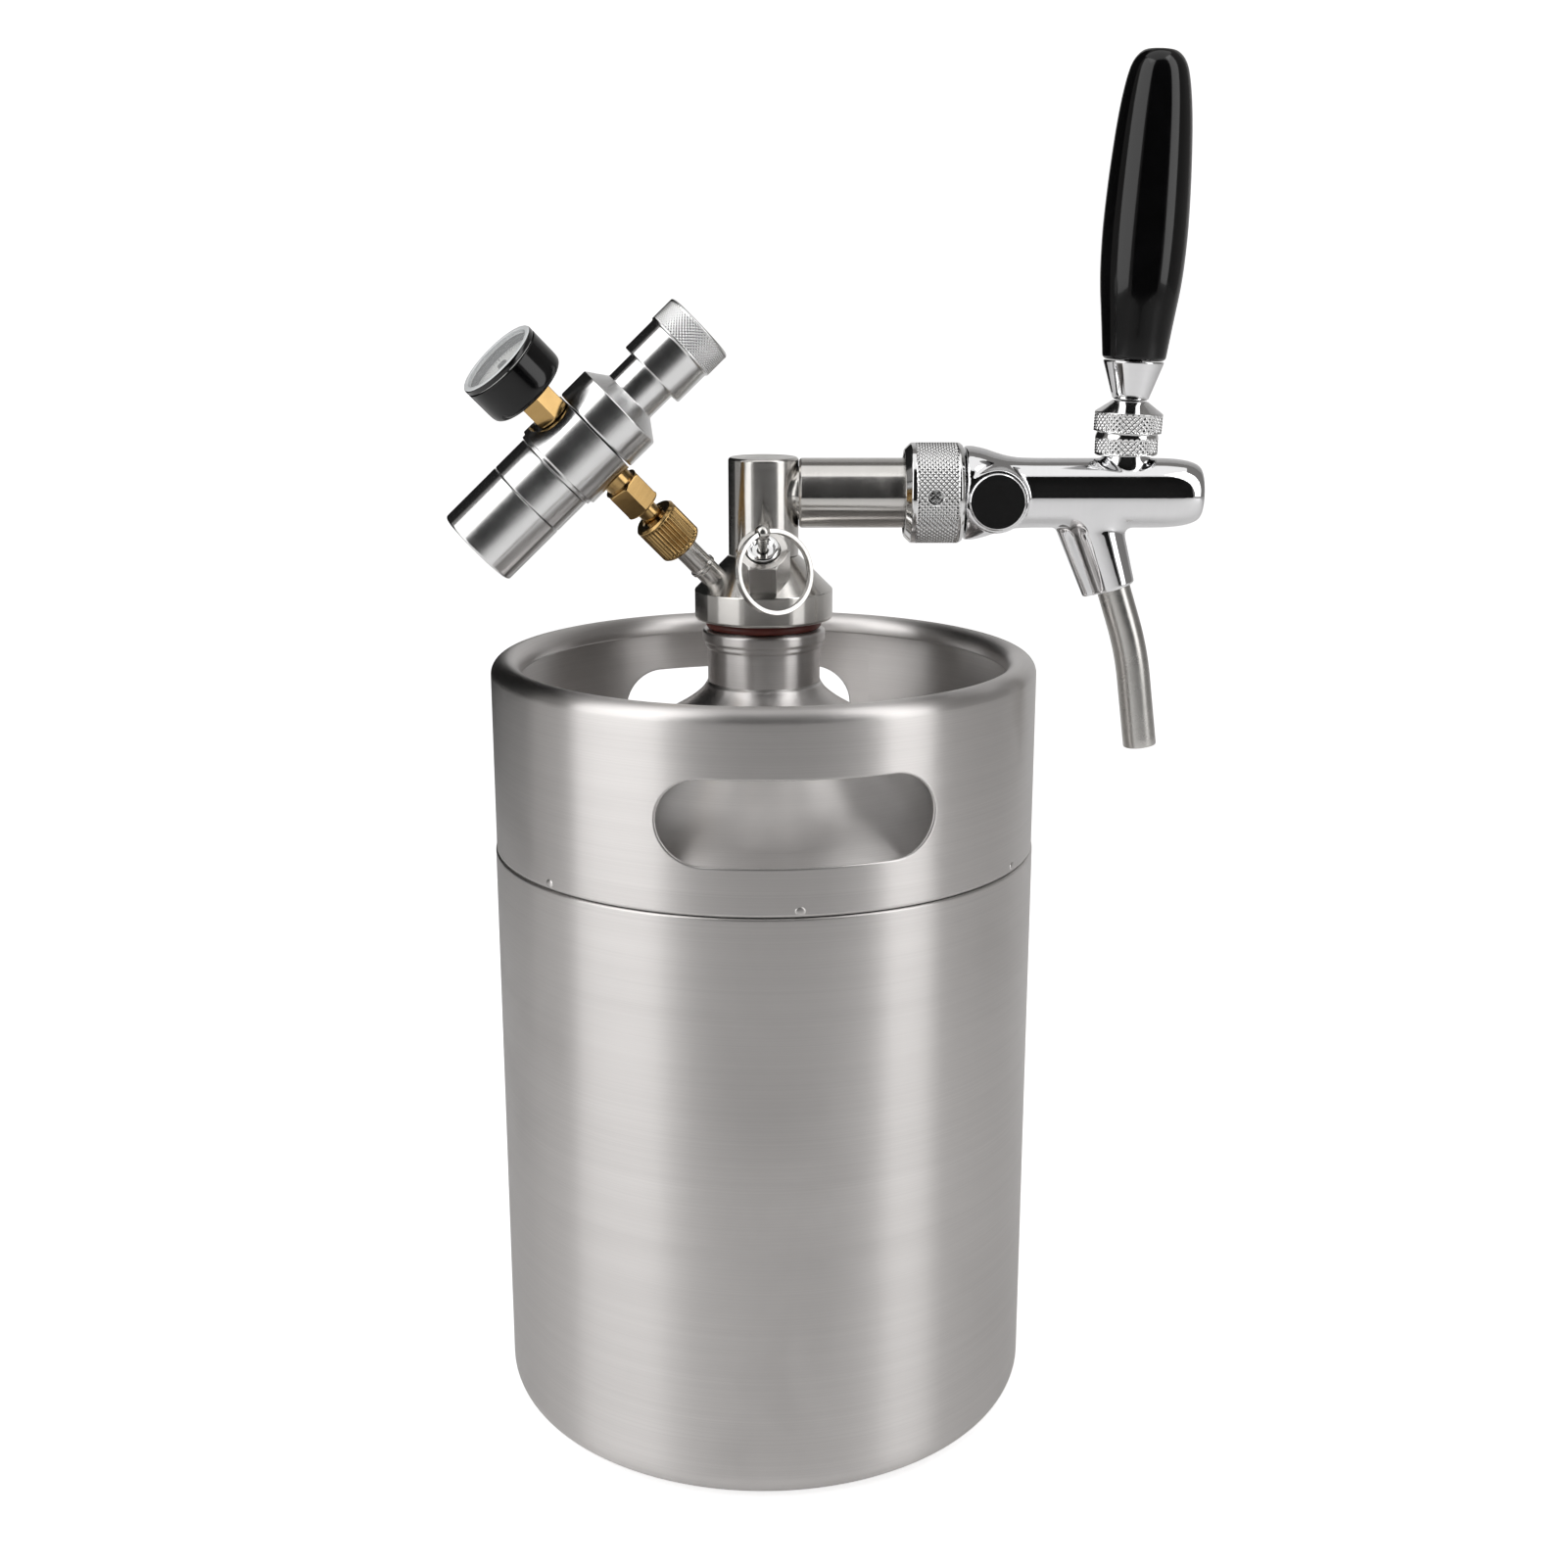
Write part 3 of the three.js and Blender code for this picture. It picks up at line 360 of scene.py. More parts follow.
# A worked metal: turning lines and smudges vary the roughness and the tone, edges are rubbed brighter
# and hollows are made a little darker.
def workedMetal(name, look):
    made, tree, shader = newMaterial(name)
    lines = addNode(tree, "ShaderNodeGroup", node_tree=turningLines)
    lines.inputs["Lines Per Metre"].default_value = look["linesPerMetre"]
    lines.inputs["Break Up"].default_value = look["breakUp"]
    smudge = addNode(tree, "ShaderNodeGroup", node_tree=handlingSmudges)
    smudge.inputs["Size"].default_value = look["smudgeSize"]
    edges = addNode(tree, "ShaderNodeGroup", node_tree=rubbedEdges)
    tone = addNode(tree, "ShaderNodeMix", data_type="RGBA")
    tree.links.new(lines.outputs["Streak Mask"], tone.inputs[0])
    tone.inputs[6].default_value, tone.inputs[7].default_value = (*look["dark"], 1), (*look["light"], 1)
    rubbed = addNode(tree, "ShaderNodeMix", data_type="RGBA")
    tree.links.new(doMath(tree, "MULTIPLY", edges.outputs["Edge Mask"], look["edge"]), rubbed.inputs[0])
    tree.links.new(tone.outputs[2], rubbed.inputs[6])
    rubbed.inputs[7].default_value = (*look["rubbed"], 1)
    # The base colour is darkened in the mesh's hollows, by the hollow mask times this material's amount.
    hollowDarkened = addNode(tree, "ShaderNodeMix", data_type="RGBA")
    tree.links.new(doMath(tree, "MULTIPLY", edges.outputs["Hollow Mask"], look["dirt"]), hollowDarkened.inputs[0])
    tree.links.new(rubbed.outputs[2], hollowDarkened.inputs[6])
    hollowDarkened.inputs[7].default_value = (*[c * 0.45 for c in look["dark"]], 1)
    tree.links.new(hollowDarkened.outputs[2], shader.inputs["Base Color"])
    rough = doMath(tree, "MULTIPLY_ADD", lines.outputs["Streak Mask"], look["roughStreak"])
    rough.node.inputs[2].default_value = look["roughness"]
    rougher = doMath(tree, "MULTIPLY_ADD", smudge.outputs["Smudge Mask"], look["roughSmudge"])
    tree.links.new(rough, rougher.node.inputs[2])
    tree.links.new(rougher, shader.inputs["Roughness"])
    bump = addNode(tree, "ShaderNodeBump", {"Strength": look["bump"], "Distance": look["bumpDepth"],
                                            "Height": lines.outputs["Line Height"]})
    tree.links.new(bump.outputs[0], shader.inputs["Normal"])
    shader.inputs["Metallic"].default_value = 1.0
    if look["acrossSpread"] > 0:  # lines round the axis spread a highlight across themselves
        grainWay = addNode(tree, "ShaderNodeTangent", direction_type="UV_MAP", uv_map="surfaceMap")
        tree.links.new(grainWay.outputs[0], shader.inputs["Tangent"])
        shader.inputs["Anisotropic"].default_value = look["acrossSpread"]
        shader.inputs["Anisotropic Rotation"].default_value = 0.25
    return made


brushedSteel = workedMetal("brushedSteel", {
    "dark": (0.57, 0.55, 0.54), "light": (0.77, 0.748, 0.735), "rubbed": (0.9, 0.89, 0.87), "roughness": 0.28,
    "roughStreak": 0.12, "roughSmudge": 0.04, "linesPerMetre": 2600.0, "breakUp": 14.0, "smudgeSize": 14.0,
    "bump": 0.5, "bumpDepth": 0.00004, "acrossSpread": 0.96, "edge": 0.7, "dirt": 0.4})
polishedSteel = workedMetal("polishedSteel", {
    "dark": (0.64, 0.62, 0.595), "light": (0.76, 0.745, 0.72), "rubbed": (0.88, 0.87, 0.85), "roughness": 0.14,
    "roughStreak": 0.10, "roughSmudge": 0.05, "linesPerMetre": 5200.0, "breakUp": 20.0, "smudgeSize": 40.0,
    "bump": 0.35, "bumpDepth": 0.00001, "acrossSpread": 0.95, "edge": 0.5, "dirt": 0.4})
satinSpout = workedMetal("satinSpout", {
    "dark": (0.52, 0.51, 0.49), "light": (0.68, 0.665, 0.64), "rubbed": (0.85, 0.84, 0.82), "roughness": 0.22,
    "roughStreak": 0.06, "roughSmudge": 0.06, "linesPerMetre": 500.0, "breakUp": 120.0, "smudgeSize": 60.0,
    "bump": 0.1, "bumpDepth": 0.00001, "acrossSpread": 0.0, "edge": 0.5, "dirt": 0.3})
chromePlate = workedMetal("chromePlate", {
    "dark": (0.80, 0.80, 0.81), "light": (0.86, 0.86, 0.87), "rubbed": (0.95, 0.95, 0.95), "roughness": 0.025,
    "roughStreak": 0.03, "roughSmudge": 0.05, "linesPerMetre": 900.0, "breakUp": 60.0, "smudgeSize": 50.0,
    "bump": 0.05, "bumpDepth": 0.00001, "acrossSpread": 0.0, "edge": 0.3, "dirt": 0.5})
knurledChrome = workedMetal("knurledChrome", {
    "dark": (0.78, 0.78, 0.78), "light": (0.88, 0.88, 0.88), "rubbed": (0.96, 0.96, 0.96), "roughness": 0.05,
    "roughStreak": 0.06, "roughSmudge": 0.05, "linesPerMetre": 3000.0, "breakUp": 90.0, "smudgeSize": 60.0,
    "bump": 0.1, "bumpDepth": 0.00001, "acrossSpread": 0.0, "edge": 0.8, "dirt": 0.7})
brightAluminium = workedMetal("brightAluminium", {
    "dark": (0.78, 0.78, 0.78), "light": (0.90, 0.90, 0.90), "rubbed": (0.95, 0.95, 0.95), "roughness": 0.15,
    "roughStreak": 0.12, "roughSmudge": 0.05, "linesPerMetre": 3600.0, "breakUp": 20.0, "smudgeSize": 45.0,
    "bump": 0.3, "bumpDepth": 0.00001, "acrossSpread": 0.9, "edge": 0.6, "dirt": 0.4})
machinedBrass = workedMetal("machinedBrass", {
    "dark": (0.40, 0.25, 0.09), "light": (0.58, 0.39, 0.17), "rubbed": (0.80, 0.60, 0.32), "roughness": 0.10,
    "roughStreak": 0.10, "roughSmudge": 0.08, "linesPerMetre": 3000.0, "breakUp": 60.0, "smudgeSize": 80.0,
    "bump": 0.3, "bumpDepth": 0.00001, "acrossSpread": 0.3, "edge": 0.6, "dirt": 0.6})
springWire = workedMetal("springWire", {
    "dark": (0.30, 0.30, 0.30), "light": (0.45, 0.45, 0.45), "rubbed": (0.7, 0.7, 0.7), "roughness": 0.28,
    "roughStreak": 0.10, "roughSmudge": 0.08, "linesPerMetre": 2000.0, "breakUp": 400.0, "smudgeSize": 90.0,
    "bump": 0.2, "bumpDepth": 0.00001, "acrossSpread": 0.0, "edge": 0.4, "dirt": 0.4})


# A moulded surface: one colour mottled by smudges, dusted edges and a fine grain in its height.
def mouldedSurface(name, look):
    made, tree, shader = newMaterial(name)
    smudge = addNode(tree, "ShaderNodeGroup", node_tree=handlingSmudges)
    smudge.inputs["Size"].default_value = look["smudgeSize"]
    edges = addNode(tree, "ShaderNodeGroup", node_tree=rubbedEdges)
    tone = addNode(tree, "ShaderNodeMix", data_type="RGBA")
    tree.links.new(smudge.outputs["Smudge Mask"], tone.inputs[0])
    tone.inputs[6].default_value, tone.inputs[7].default_value = (*look["base"], 1), (*look["worn"], 1)
    rubbed = addNode(tree, "ShaderNodeMix", data_type="RGBA")
    tree.links.new(doMath(tree, "MULTIPLY", edges.outputs["Edge Mask"], look["edge"]), rubbed.inputs[0])
    tree.links.new(tone.outputs[2], rubbed.inputs[6])
    rubbed.inputs[7].default_value = (*look["rubbed"], 1)
    tree.links.new(rubbed.outputs[2], shader.inputs["Base Color"])
    rough = doMath(tree, "MULTIPLY_ADD", smudge.outputs["Smudge Mask"], look["roughSmudge"])
    rough.node.inputs[2].default_value = look["roughness"]
    tree.links.new(rough, shader.inputs["Roughness"])
    grain = addNode(tree, "ShaderNodeTexNoise", {"Vector": addNode(tree, "ShaderNodeTexCoord").outputs["Object"],
                                                 "Scale": look["grainScale"], "Detail": 2.0})
    bump = addNode(tree, "ShaderNodeBump", {"Strength": look["bump"], "Distance": 0.00002,
                                            "Height": grain.outputs[0]})
    tree.links.new(bump.outputs[0], shader.inputs["Normal"])
    shader.inputs["Specular IOR Level"].default_value = look.get("gloss", 0.5)
    shader.inputs["Coat Weight"].default_value = look["coat"]
    shader.inputs["Coat Roughness"].default_value = 0.02
    return made, tree, shader


glossBlack = mouldedSurface("glossBlack", {
    "base": (0.002, 0.002, 0.0022), "worn": (0.004, 0.004, 0.0045), "rubbed": (0.02, 0.02, 0.02), "edge": 0.3,
    "gloss": 0.3, "roughness": 0.10, "roughSmudge": 0.06, "smudgeSize": 25.0, "grainScale": 260.0, "bump": 0.03,
    "coat": 0.25})[0]
redRubber = mouldedSurface("redRubber", {
    "base": (0.10, 0.018, 0.012), "worn": (0.14, 0.03, 0.02), "rubbed": (0.22, 0.07, 0.05), "edge": 0.3,
    "roughness": 0.45, "roughSmudge": 0.15, "smudgeSize": 80.0, "grainScale": 1500.0, "bump": 0.4, "coat": 0.0})[0]
blackRubber = mouldedSurface("blackRubber", {
    "base": (0.012, 0.012, 0.012), "worn": (0.02, 0.02, 0.02), "rubbed": (0.06, 0.06, 0.06), "edge": 0.3,
    "roughness": 0.5, "roughSmudge": 0.15, "smudgeSize": 80.0, "grainScale": 1500.0, "bump": 0.5, "coat": 0.0})[0]
whiteNylon = mouldedSurface("whiteNylon", {
    "base": (0.78, 0.77, 0.72), "worn": (0.70, 0.69, 0.63), "rubbed": (0.85, 0.84, 0.8), "edge": 0.2,
    "roughness": 0.38, "roughSmudge": 0.10, "smudgeSize": 70.0, "grainScale": 1200.0, "bump": 0.2, "coat": 0.0})[0]
whiteBezel = mouldedSurface("whiteBezel", {
    "base": (0.80, 0.82, 0.83), "worn": (0.74, 0.76, 0.77), "rubbed": (0.9, 0.9, 0.9), "edge": 0.2,
    "roughness": 0.16, "roughSmudge": 0.08, "smudgeSize": 70.0, "grainScale": 700.0, "bump": 0.05, "coat": 0.4})[0]


# Bezel: pale round its front lip, black past a given length along its outline.
def makeRimmed(paleFrom):
    made, tree, shader = mouldedSurface("bezelRim", {
        "base": (0.80, 0.82, 0.83), "worn": (0.74, 0.76, 0.77), "rubbed": (0.9, 0.9, 0.9), "edge": 0.2,
        "roughness": 0.16, "roughSmudge": 0.08, "smudgeSize": 70.0, "grainScale": 700.0, "bump": 0.05, "coat": 0.3})
    uv = addNode(tree, "ShaderNodeUVMap", uv_map="surfaceMap")
    along = addNode(tree, "ShaderNodeSeparateXYZ", {0: uv.outputs[0]}).outputs[1]
    tint = addNode(tree, "ShaderNodeMix", data_type="RGBA")
    tree.links.new(doMath(tree, "GREATER_THAN", along, paleFrom), tint.inputs[0])
    tint.inputs[6].default_value = (0.003, 0.003, 0.0035, 1)
    tree.links.new(shader.inputs["Base Color"].links[0].from_socket, tint.inputs[7])
    tree.links.new(tint.outputs[2], shader.inputs["Base Color"])
    return made


rimmedBezel = makeRimmed(0.0035)


# Dial face: pale card with tick marks at even angles between two radii, and longer marks every fifth.
def makeDialFace():
    made, tree, shader = mouldedSurface("dialFace", {
        "base": (0.82, 0.82, 0.80), "worn": (0.78, 0.78, 0.76), "rubbed": (0.85, 0.85, 0.84), "edge": 0.1,
        "roughness": 0.5, "roughSmudge": 0.05, "smudgeSize": 90.0, "grainScale": 900.0, "bump": 0.1, "coat": 0.0})
    uv = addNode(tree, "ShaderNodeUVMap", uv_map="surfaceMap")
    parts = addNode(tree, "ShaderNodeSeparateXYZ", {0: uv.outputs[0]})
    turn, along = parts.outputs[0], parts.outputs[1]
    fine = doMath(tree, "LESS_THAN", doMath(tree, "FRACT", doMath(tree, "MULTIPLY", turn, 60.0)), 0.16)
    bold = doMath(tree, "LESS_THAN", doMath(tree, "FRACT", doMath(tree, "MULTIPLY", turn, 12.0)), 0.06)
    outerBand = doMath(tree, "MULTIPLY", doMath(tree, "GREATER_THAN", along, 0.0086),
                       doMath(tree, "LESS_THAN", along, 0.0102))
    longBand = doMath(tree, "MULTIPLY", doMath(tree, "GREATER_THAN", along, 0.0072),
                      doMath(tree, "LESS_THAN", along, 0.0102))
    marks = doMath(tree, "MAXIMUM", doMath(tree, "MULTIPLY", fine, outerBand),
                   doMath(tree, "MULTIPLY", bold, longBand))
    scale = doMath(tree, "LESS_THAN", turn, 0.76)
    ink = addNode(tree, "ShaderNodeMix", data_type="RGBA")
    tree.links.new(doMath(tree, "MULTIPLY", marks, scale), ink.inputs[0])
    tree.links.new(shader.inputs["Base Color"].links[0].from_socket, ink.inputs[6])
    ink.inputs[7].default_value = (0.02, 0.02, 0.025, 1)
    tree.links.new(ink.outputs[2], shader.inputs["Base Color"])
    return made


dialFace = makeDialFace()


# Clear lens: a thin veil whose gloss is broken only by faint smudges.
def makeClearLens():
    made, tree, shader = newMaterial("clearLens")
    smudge = addNode(tree, "ShaderNodeGroup", node_tree=handlingSmudges)
    smudge.inputs["Size"].default_value = 60.0
    rough = doMath(tree, "MULTIPLY_ADD", smudge.outputs["Smudge Mask"], 0.04)
    rough.node.inputs[2].default_value = 0.01
    tree.links.new(rough, shader.inputs["Roughness"])
    shader.inputs["Base Color"].default_value = (0.95, 0.97, 0.98, 1)
    shader.inputs["Alpha"].default_value = 0.2
    shader.inputs["IOR"].default_value = 1.46
    return made


clearLens = makeClearLens()
slotFinish = {"brushed_steel": brushedSteel, "polished_steel": polishedSteel, "chrome": chromePlate,
              "aluminium": brightAluminium, "brass": machinedBrass, "spring_steel": springWire,
              "red_rubber": redRubber, "black_rubber": blackRubber, "white_plastic": whiteNylon,
              "handle_black": glossBlack, "gauge_black": glossBlack, "gauge_white": whiteBezel,
              "gauge_dial": dialFace, "gauge_lens": clearLens}
for part in frame["record"]["subparts"]:  # inner pieces keep their CAD shape and take a real finish
    mesh = frame["nodes"][part["node"]].data
    mesh.materials.clear()
    mesh.materials.append(slotFinish[part["material_slot"]])
print("finishes made:", len(bpy.data.materials))

# Keg cup: a deep drawn can with a dished base that stands on a ring.
cup = {"radius": 84.0, "wall": 1.2, "top": 183.3, "corner": 10.0, "grooveDepth": 3.0, "around": 288}


def makeCup(c):
    r, w = c["radius"], c["wall"]
    base = rounded([[0, 0], [22, 0], [27, c["grooveDepth"]], [53, c["grooveDepth"]], [60, 0], [66, 0]], 2.5, 5, False)
    corner = arcPoints(r - c["corner"], c["corner"], c["corner"], -90, 0, 18)
    wallRows = np.linspace(c["corner"] + 2, c["top"] - 1.0, 40)
    outer = np.stack([np.full(40, r), wallRows], 1)
    lip = arcPoints(r - w / 2, c["top"] - w / 2, w / 2, 0, 180, 8)
    innerCorner = arcPoints(r - c["corner"], c["corner"], c["corner"] - w, 0, -90, 12)
    inside = [[60.5, w], [53.5, c["grooveDepth"] + w], [26.5, c["grooveDepth"] + w], [21.5, w], [0, w]]
    outline = np.concatenate([base[:-1], corner, outer, lip, innerCorner, np.array(inside, float)])
    return turned(outline, c["around"], loop=False)


makePiece("kegCup", [makeCup(cup)], "keg", ["keg_body"], brushedSteel)

# Keg shoulder: a skirt inside the wall, a bend, a cone and a small flare at the neck.
shoulder = {"skirt": 82.3, "wall": 1.2, "skirtBottom": 178.0, "bend": 8.0, "bendHeight": 189.0, "neckHole": 17.4,
            "around": 288}


def makeShoulder(c):
    r, w = c["skirt"], c["wall"]
    bend = arcPoints(r - c["bend"], c["bendHeight"], c["bend"], 0, 60, 14)
    flare = [[50, 212.2], [26, 226.1], [24, 227.3], [20.5, 229.9], [18.6, 231.8], [c["neckHole"], 234]]
    outer = np.concatenate([[[r, c["skirtBottom"]]], bend, flowing(flare, 6)])
    back = flowing([[c["neckHole"], 231.4], [20, 228.1], [23.6, 225.9], [26, 224.5], [50, 210.8]], 6)
    inner = arcPoints(r - c["bend"], c["bendHeight"], c["bend"] - w, 60, 0, 10)
    outline = np.concatenate([outer, back, inner, [[r - w, c["skirtBottom"]]]])
    return turned(outline, c["around"])


makePiece("kegShoulder", [makeShoulder(shoulder)], "keg", ["keg_shoulder"], brushedSteel)

# Neck: a short ring with a bead and a lip, welded into the shoulder.
neck = {"bore": 15.3, "radius": 17.25, "bottom": 226.0, "top": 250.1, "bead": 18.1, "lip": 18.8, "around": 160}
neckOutline = rounded([[neck["bore"], neck["bottom"]], [neck["radius"], neck["bottom"]], [neck["radius"], 244.6],
                       [neck["bead"], 244.9], [neck["bead"], 246.4], [neck["lip"], 246.8],
                       [neck["lip"], neck["top"] - 0.5], [18.3, neck["top"]], [neck["bore"], neck["top"]]], 0.5)
makePiece("kegNeck", [turned(neckOutline, neck["around"])], "keg", ["keg_neck"], brushedSteel)
print("keg cup, shoulder and neck made")

# Chime: a rolled-over ring with two hand slots whose cut edges are rounded, and spot welds at its foot.
chime = {"radius": 83.7, "wall": 1.2, "foot": 183.8, "roll": 4.5, "rim": 242.2, "slotTurn": 7.4, "slotHeight": 24.6,
         "slotMiddle": 210.1, "slotHalfAngle": 28.0, "patchHalf": 33, "columns": 360,
         "weldTurns": (-54.5, 0.0, 54.5), "weldSize": (1.7, 0.55, 1.3)}


# The wall is a grid of outline rows by one degree columns. Round each slot the wall's cells are left out and
# filled by rings: ring k blends from the border to the slot's outline, goes round the sheet's edge on a half
# circle, and back to the border on the inner wall.
def makeChime(c):
    r, w, n = c["radius"], c["wall"], c["columns"]
    wallRows = np.array([c["foot"], 184.5, 187.0, 190.0, 193.5, 197.0, 200.5, 204.0, 207.0, 210.1, 213.2, 216.2,
                         219.7, 223.2, 226.7, 230.2, 234.0, c["rim"] - c["roll"]])
    rollR, rollZ = r - c["roll"], c["rim"] - c["roll"]
    outerRoll = arcPoints(rollR, rollZ, c["roll"], 0, 200, 28)[1:]
    innerRoll = arcPoints(rollR, rollZ, c["roll"] - w, 200, 0, 22)[:-1]
    rows = len(wallRows)
    outline = np.concatenate([np.stack([np.full(rows, r), wallRows], 1), outerRoll, innerRoll,
                              np.stack([np.full(rows, r - w), wallRows[::-1]], 1)])
    turn = math.radians(c["slotTurn"] - 90)
    p, q, uv = turned(outline, n, angles=np.arange(n) * 2 * math.pi / n + turn)
    total, low, high, half = len(outline), 3, 15, c["patchHalf"]
    faceRow, faceColumn = np.divmod(np.arange(len(q)), n)
    inOuter = (faceRow >= low) & (faceRow < high)
    inInner = (faceRow >= total - 1 - high) & (faceRow < total - 1 - low)
    fromSlot = np.minimum(faceColumn % 180, 179 - faceColumn % 180)
    keep = ~((inOuter | inInner) & (fromSlot < half))
    q, uv = q[keep], uv[keep]
    across, up = np.arange(-half, half), np.arange(low, high)
    borderColumn = np.concatenate([across, np.full(len(up), half), -across, np.full(len(up), -half)])
    borderRow = np.concatenate([np.full(len(across), low), up, np.full(len(across), high), high + low - up])
    theta = np.radians(borderColumn * 1.0)
    border = np.stack([r * np.sin(theta), wallRows[borderRow]], 1)
    end = c["slotHeight"] / 2
    straight = r * math.sin(math.radians(c["slotHalfAngle"])) - end
    core = np.stack([np.clip(border[:, 0], -straight, straight), np.full(len(border), c["slotMiddle"])], 1)
    away = (border - core) / np.linalg.norm(border - core, axis=1)[:, None]
    outlinePoints = core + away * end
    reach = np.linalg.norm(border - outlinePoints, axis=1)
    share = np.array([0.7, 0.45, 0.25, 0.12, 0.05, 0.015])
    bead = np.linspace(0, math.pi, 11)
    outerWay = w / 2 + share[:, None] * (reach - w / 2)[None, :]
    roundWay = (w / 2 * (1 - np.sin(bead)))[:, None] + 0 * reach[None, :]
    way = np.concatenate([outerWay, roundWay, outerWay[::-1]])
    depth = np.concatenate([np.zeros(len(share)), w / 2 * (np.cos(bead) - 1), np.full(len(share), -w)])
    flat = outlinePoints[None] + away[None] * way[..., None]
    angle = np.arcsin(flat[..., 0] / r)
    points, quads, uvs = [p], [q], [uv]
    for side in (0, 1):
        a = angle + turn + side * math.pi
        radius = r + depth[:, None] + 0 * a
        ring = np.stack([radius * np.cos(a), radius * np.sin(a), flat[..., 1]], -1)
        start = sum(len(x) for x in points)
        index = start + np.arange(ring.shape[0] * ring.shape[1]).reshape(ring.shape[:2])
        column = (borderColumn + side * 180) % n
        index = np.concatenate([(borderRow * n + column)[None], index, ((total - 1 - borderRow) * n + column)[None]])
        onward = np.roll(index, -1, 1)
        quads.append(np.stack([index[:-1], onward[:-1], onward[1:], index[1:]], -1).reshape(-1, 4))
        height = np.concatenate([border[None, :, 1], flat[..., 1], border[None, :, 1]])
        nextHeight = np.roll(height, -1, 1)
        v = np.stack([height[:-1], nextHeight[:-1], nextHeight[1:], height[1:]], -1).reshape(-1, 4) * 0.001
        full = np.concatenate([theta[None], angle, theta[None]]) / (2 * math.pi)
        nextFull = np.roll(full, -1, 1)
        u = np.stack([full[:-1], nextFull[:-1], nextFull[1:], full[1:]], -1).reshape(-1, 4)
        uvs.append(np.stack([u, v - c["foot"] * 0.001], -1))
        points.append(ring.reshape(-1, 3))
    sides = np.concatenate(quads[1:])
    quads = [quads[0], sides]
    return np.concatenate(points), np.concatenate(quads), np.concatenate(uvs)


def makeWelds(c):
    made = []
    for side in (0, 180):
        for turn in c["weldTurns"]:
            a = math.radians(c["slotTurn"] + turn + side)
            outward = np.array([math.sin(a), -math.cos(a), 0])
            basis = np.stack([np.array([math.cos(a), math.sin(a), 0]), outward, np.array([0, 0, 1.0])], 1)
            at = outward * (c["radius"] - 0.22) + np.array([0, 0, 185.4])
            made.append(ballShape(at, c["weldSize"], 10, 16, basis))
    return made


chimePiece = makePiece("topChime", [makeChime(chime)] + makeWelds(chime), "keg", ["top_chime"], brushedSteel)
bmWork = bmesh.new()
bmWork.from_mesh(chimePiece.data)
bmesh.ops.recalc_face_normals(bmWork, faces=bmWork.faces)
bmWork.to_mesh(chimePiece.data)
bmWork.free()
print("chime made")

# Head cap: a plain collar and cone over the plug that screws into the neck.
headCap = {"plug": 14.7, "bottom": 238.0, "collar": 21.1, "collarBottom": 253.4, "collarTop": 262.6,
           "coneTop": 10.8, "top": 272.6, "bore": 4.3, "around": 144}


def makeHeadCap(c):
    outline = rounded([[c["bore"], c["bottom"]], [c["plug"] - 0.8, c["bottom"]], [c["plug"], 239],
                       [c["plug"], c["collarBottom"]], [c["collar"] - 0.5, c["collarBottom"]],
                       [c["collar"], c["collarBottom"] + 0.5], [c["collar"], c["collarTop"] - 0.3],
                       [c["collar"] - 0.3, c["collarTop"]], [c["coneTop"], c["top"]], [c["bore"], c["top"]]], 0.35)
    return turned(outline, c["around"])


makePiece("headCap", [makeHeadCap(headCap)], "tap_head", ["head_cap"], polishedSteel)

# O-ring between cap and neck.
oRing = {"radius": 16.4, "section": 1.35, "height": 251.75}
makePiece("headSeal", [turned(arcPoints(oRing["radius"], oRing["height"], oRing["section"], 0, 360, 24)[:-1], 128)],
          "head_seal", ["head_seal"], redRubber)

# Tower: the upright tube with a flat, lightly chamfered top.
tower = {"radius": 10.65, "bottom": 272.9, "top": 302.2, "chamfer": 0.6, "bore": 7.5, "around": 128}
towerOutline = rounded([[0, tower["top"] - 4], [tower["bore"], tower["top"] - 4], [tower["bore"], tower["bottom"]],
                        [tower["radius"], tower["bottom"]], [tower["radius"], tower["top"] - tower["chamfer"]],
                        [tower["radius"] - tower["chamfer"], tower["top"]], [0, tower["top"]]], 0.22, 4, False)
makePiece("towerTube", [turned(towerOutline, tower["around"], loop=False)], "tap_head", ["tower_tube"],
          polishedSteel)

# Arm: a bar with a square chamfered end on a stub cut to the tower, a relief groove and a threaded end.
armBar = {"radius": 10.5, "bore": 4.5, "stub": 8.0, "start": 10.76, "chamfer": 0.6, "end": 50.2, "neck": 9.4,
          "thread": 12.0, "saddleGap": 0.1, "around": 128}


# The stub's end lies on the tower: x = sqrt(towerRadius squared - y squared) + gap.
def makeArm(c):
    saddle = np.stack([np.linspace(c["bore"], c["stub"], 6), np.zeros(6)], 1)
    shaft = rounded([[c["stub"], c["start"] - 0.3], [c["stub"], c["start"]], [c["radius"] - c["chamfer"], c["start"]],
                     [c["radius"], c["start"] + c["chamfer"]], [c["radius"], 20]], 0.12, 3, False)
    tail = rounded([[c["radius"], 42.6], [c["radius"], 43], [c["neck"], 43.3], [c["neck"], 45], [c["thread"], 45.4],
                    [c["thread"], c["end"]], [c["bore"], c["end"]]], 0.25, 4, False)
    p, q, uv = turned(np.concatenate([saddle, shaft, tail]), c["around"], arm)
    end = p[:, 0] < 5
    p[end, 0] = np.sqrt(tower["radius"] ** 2 - p[end, 1] ** 2) + c["saddleGap"]
    return p, q, uv


makePiece("tapArm", [makeArm(armBar)], "tap_head", ["tap_arm"], polishedSteel)

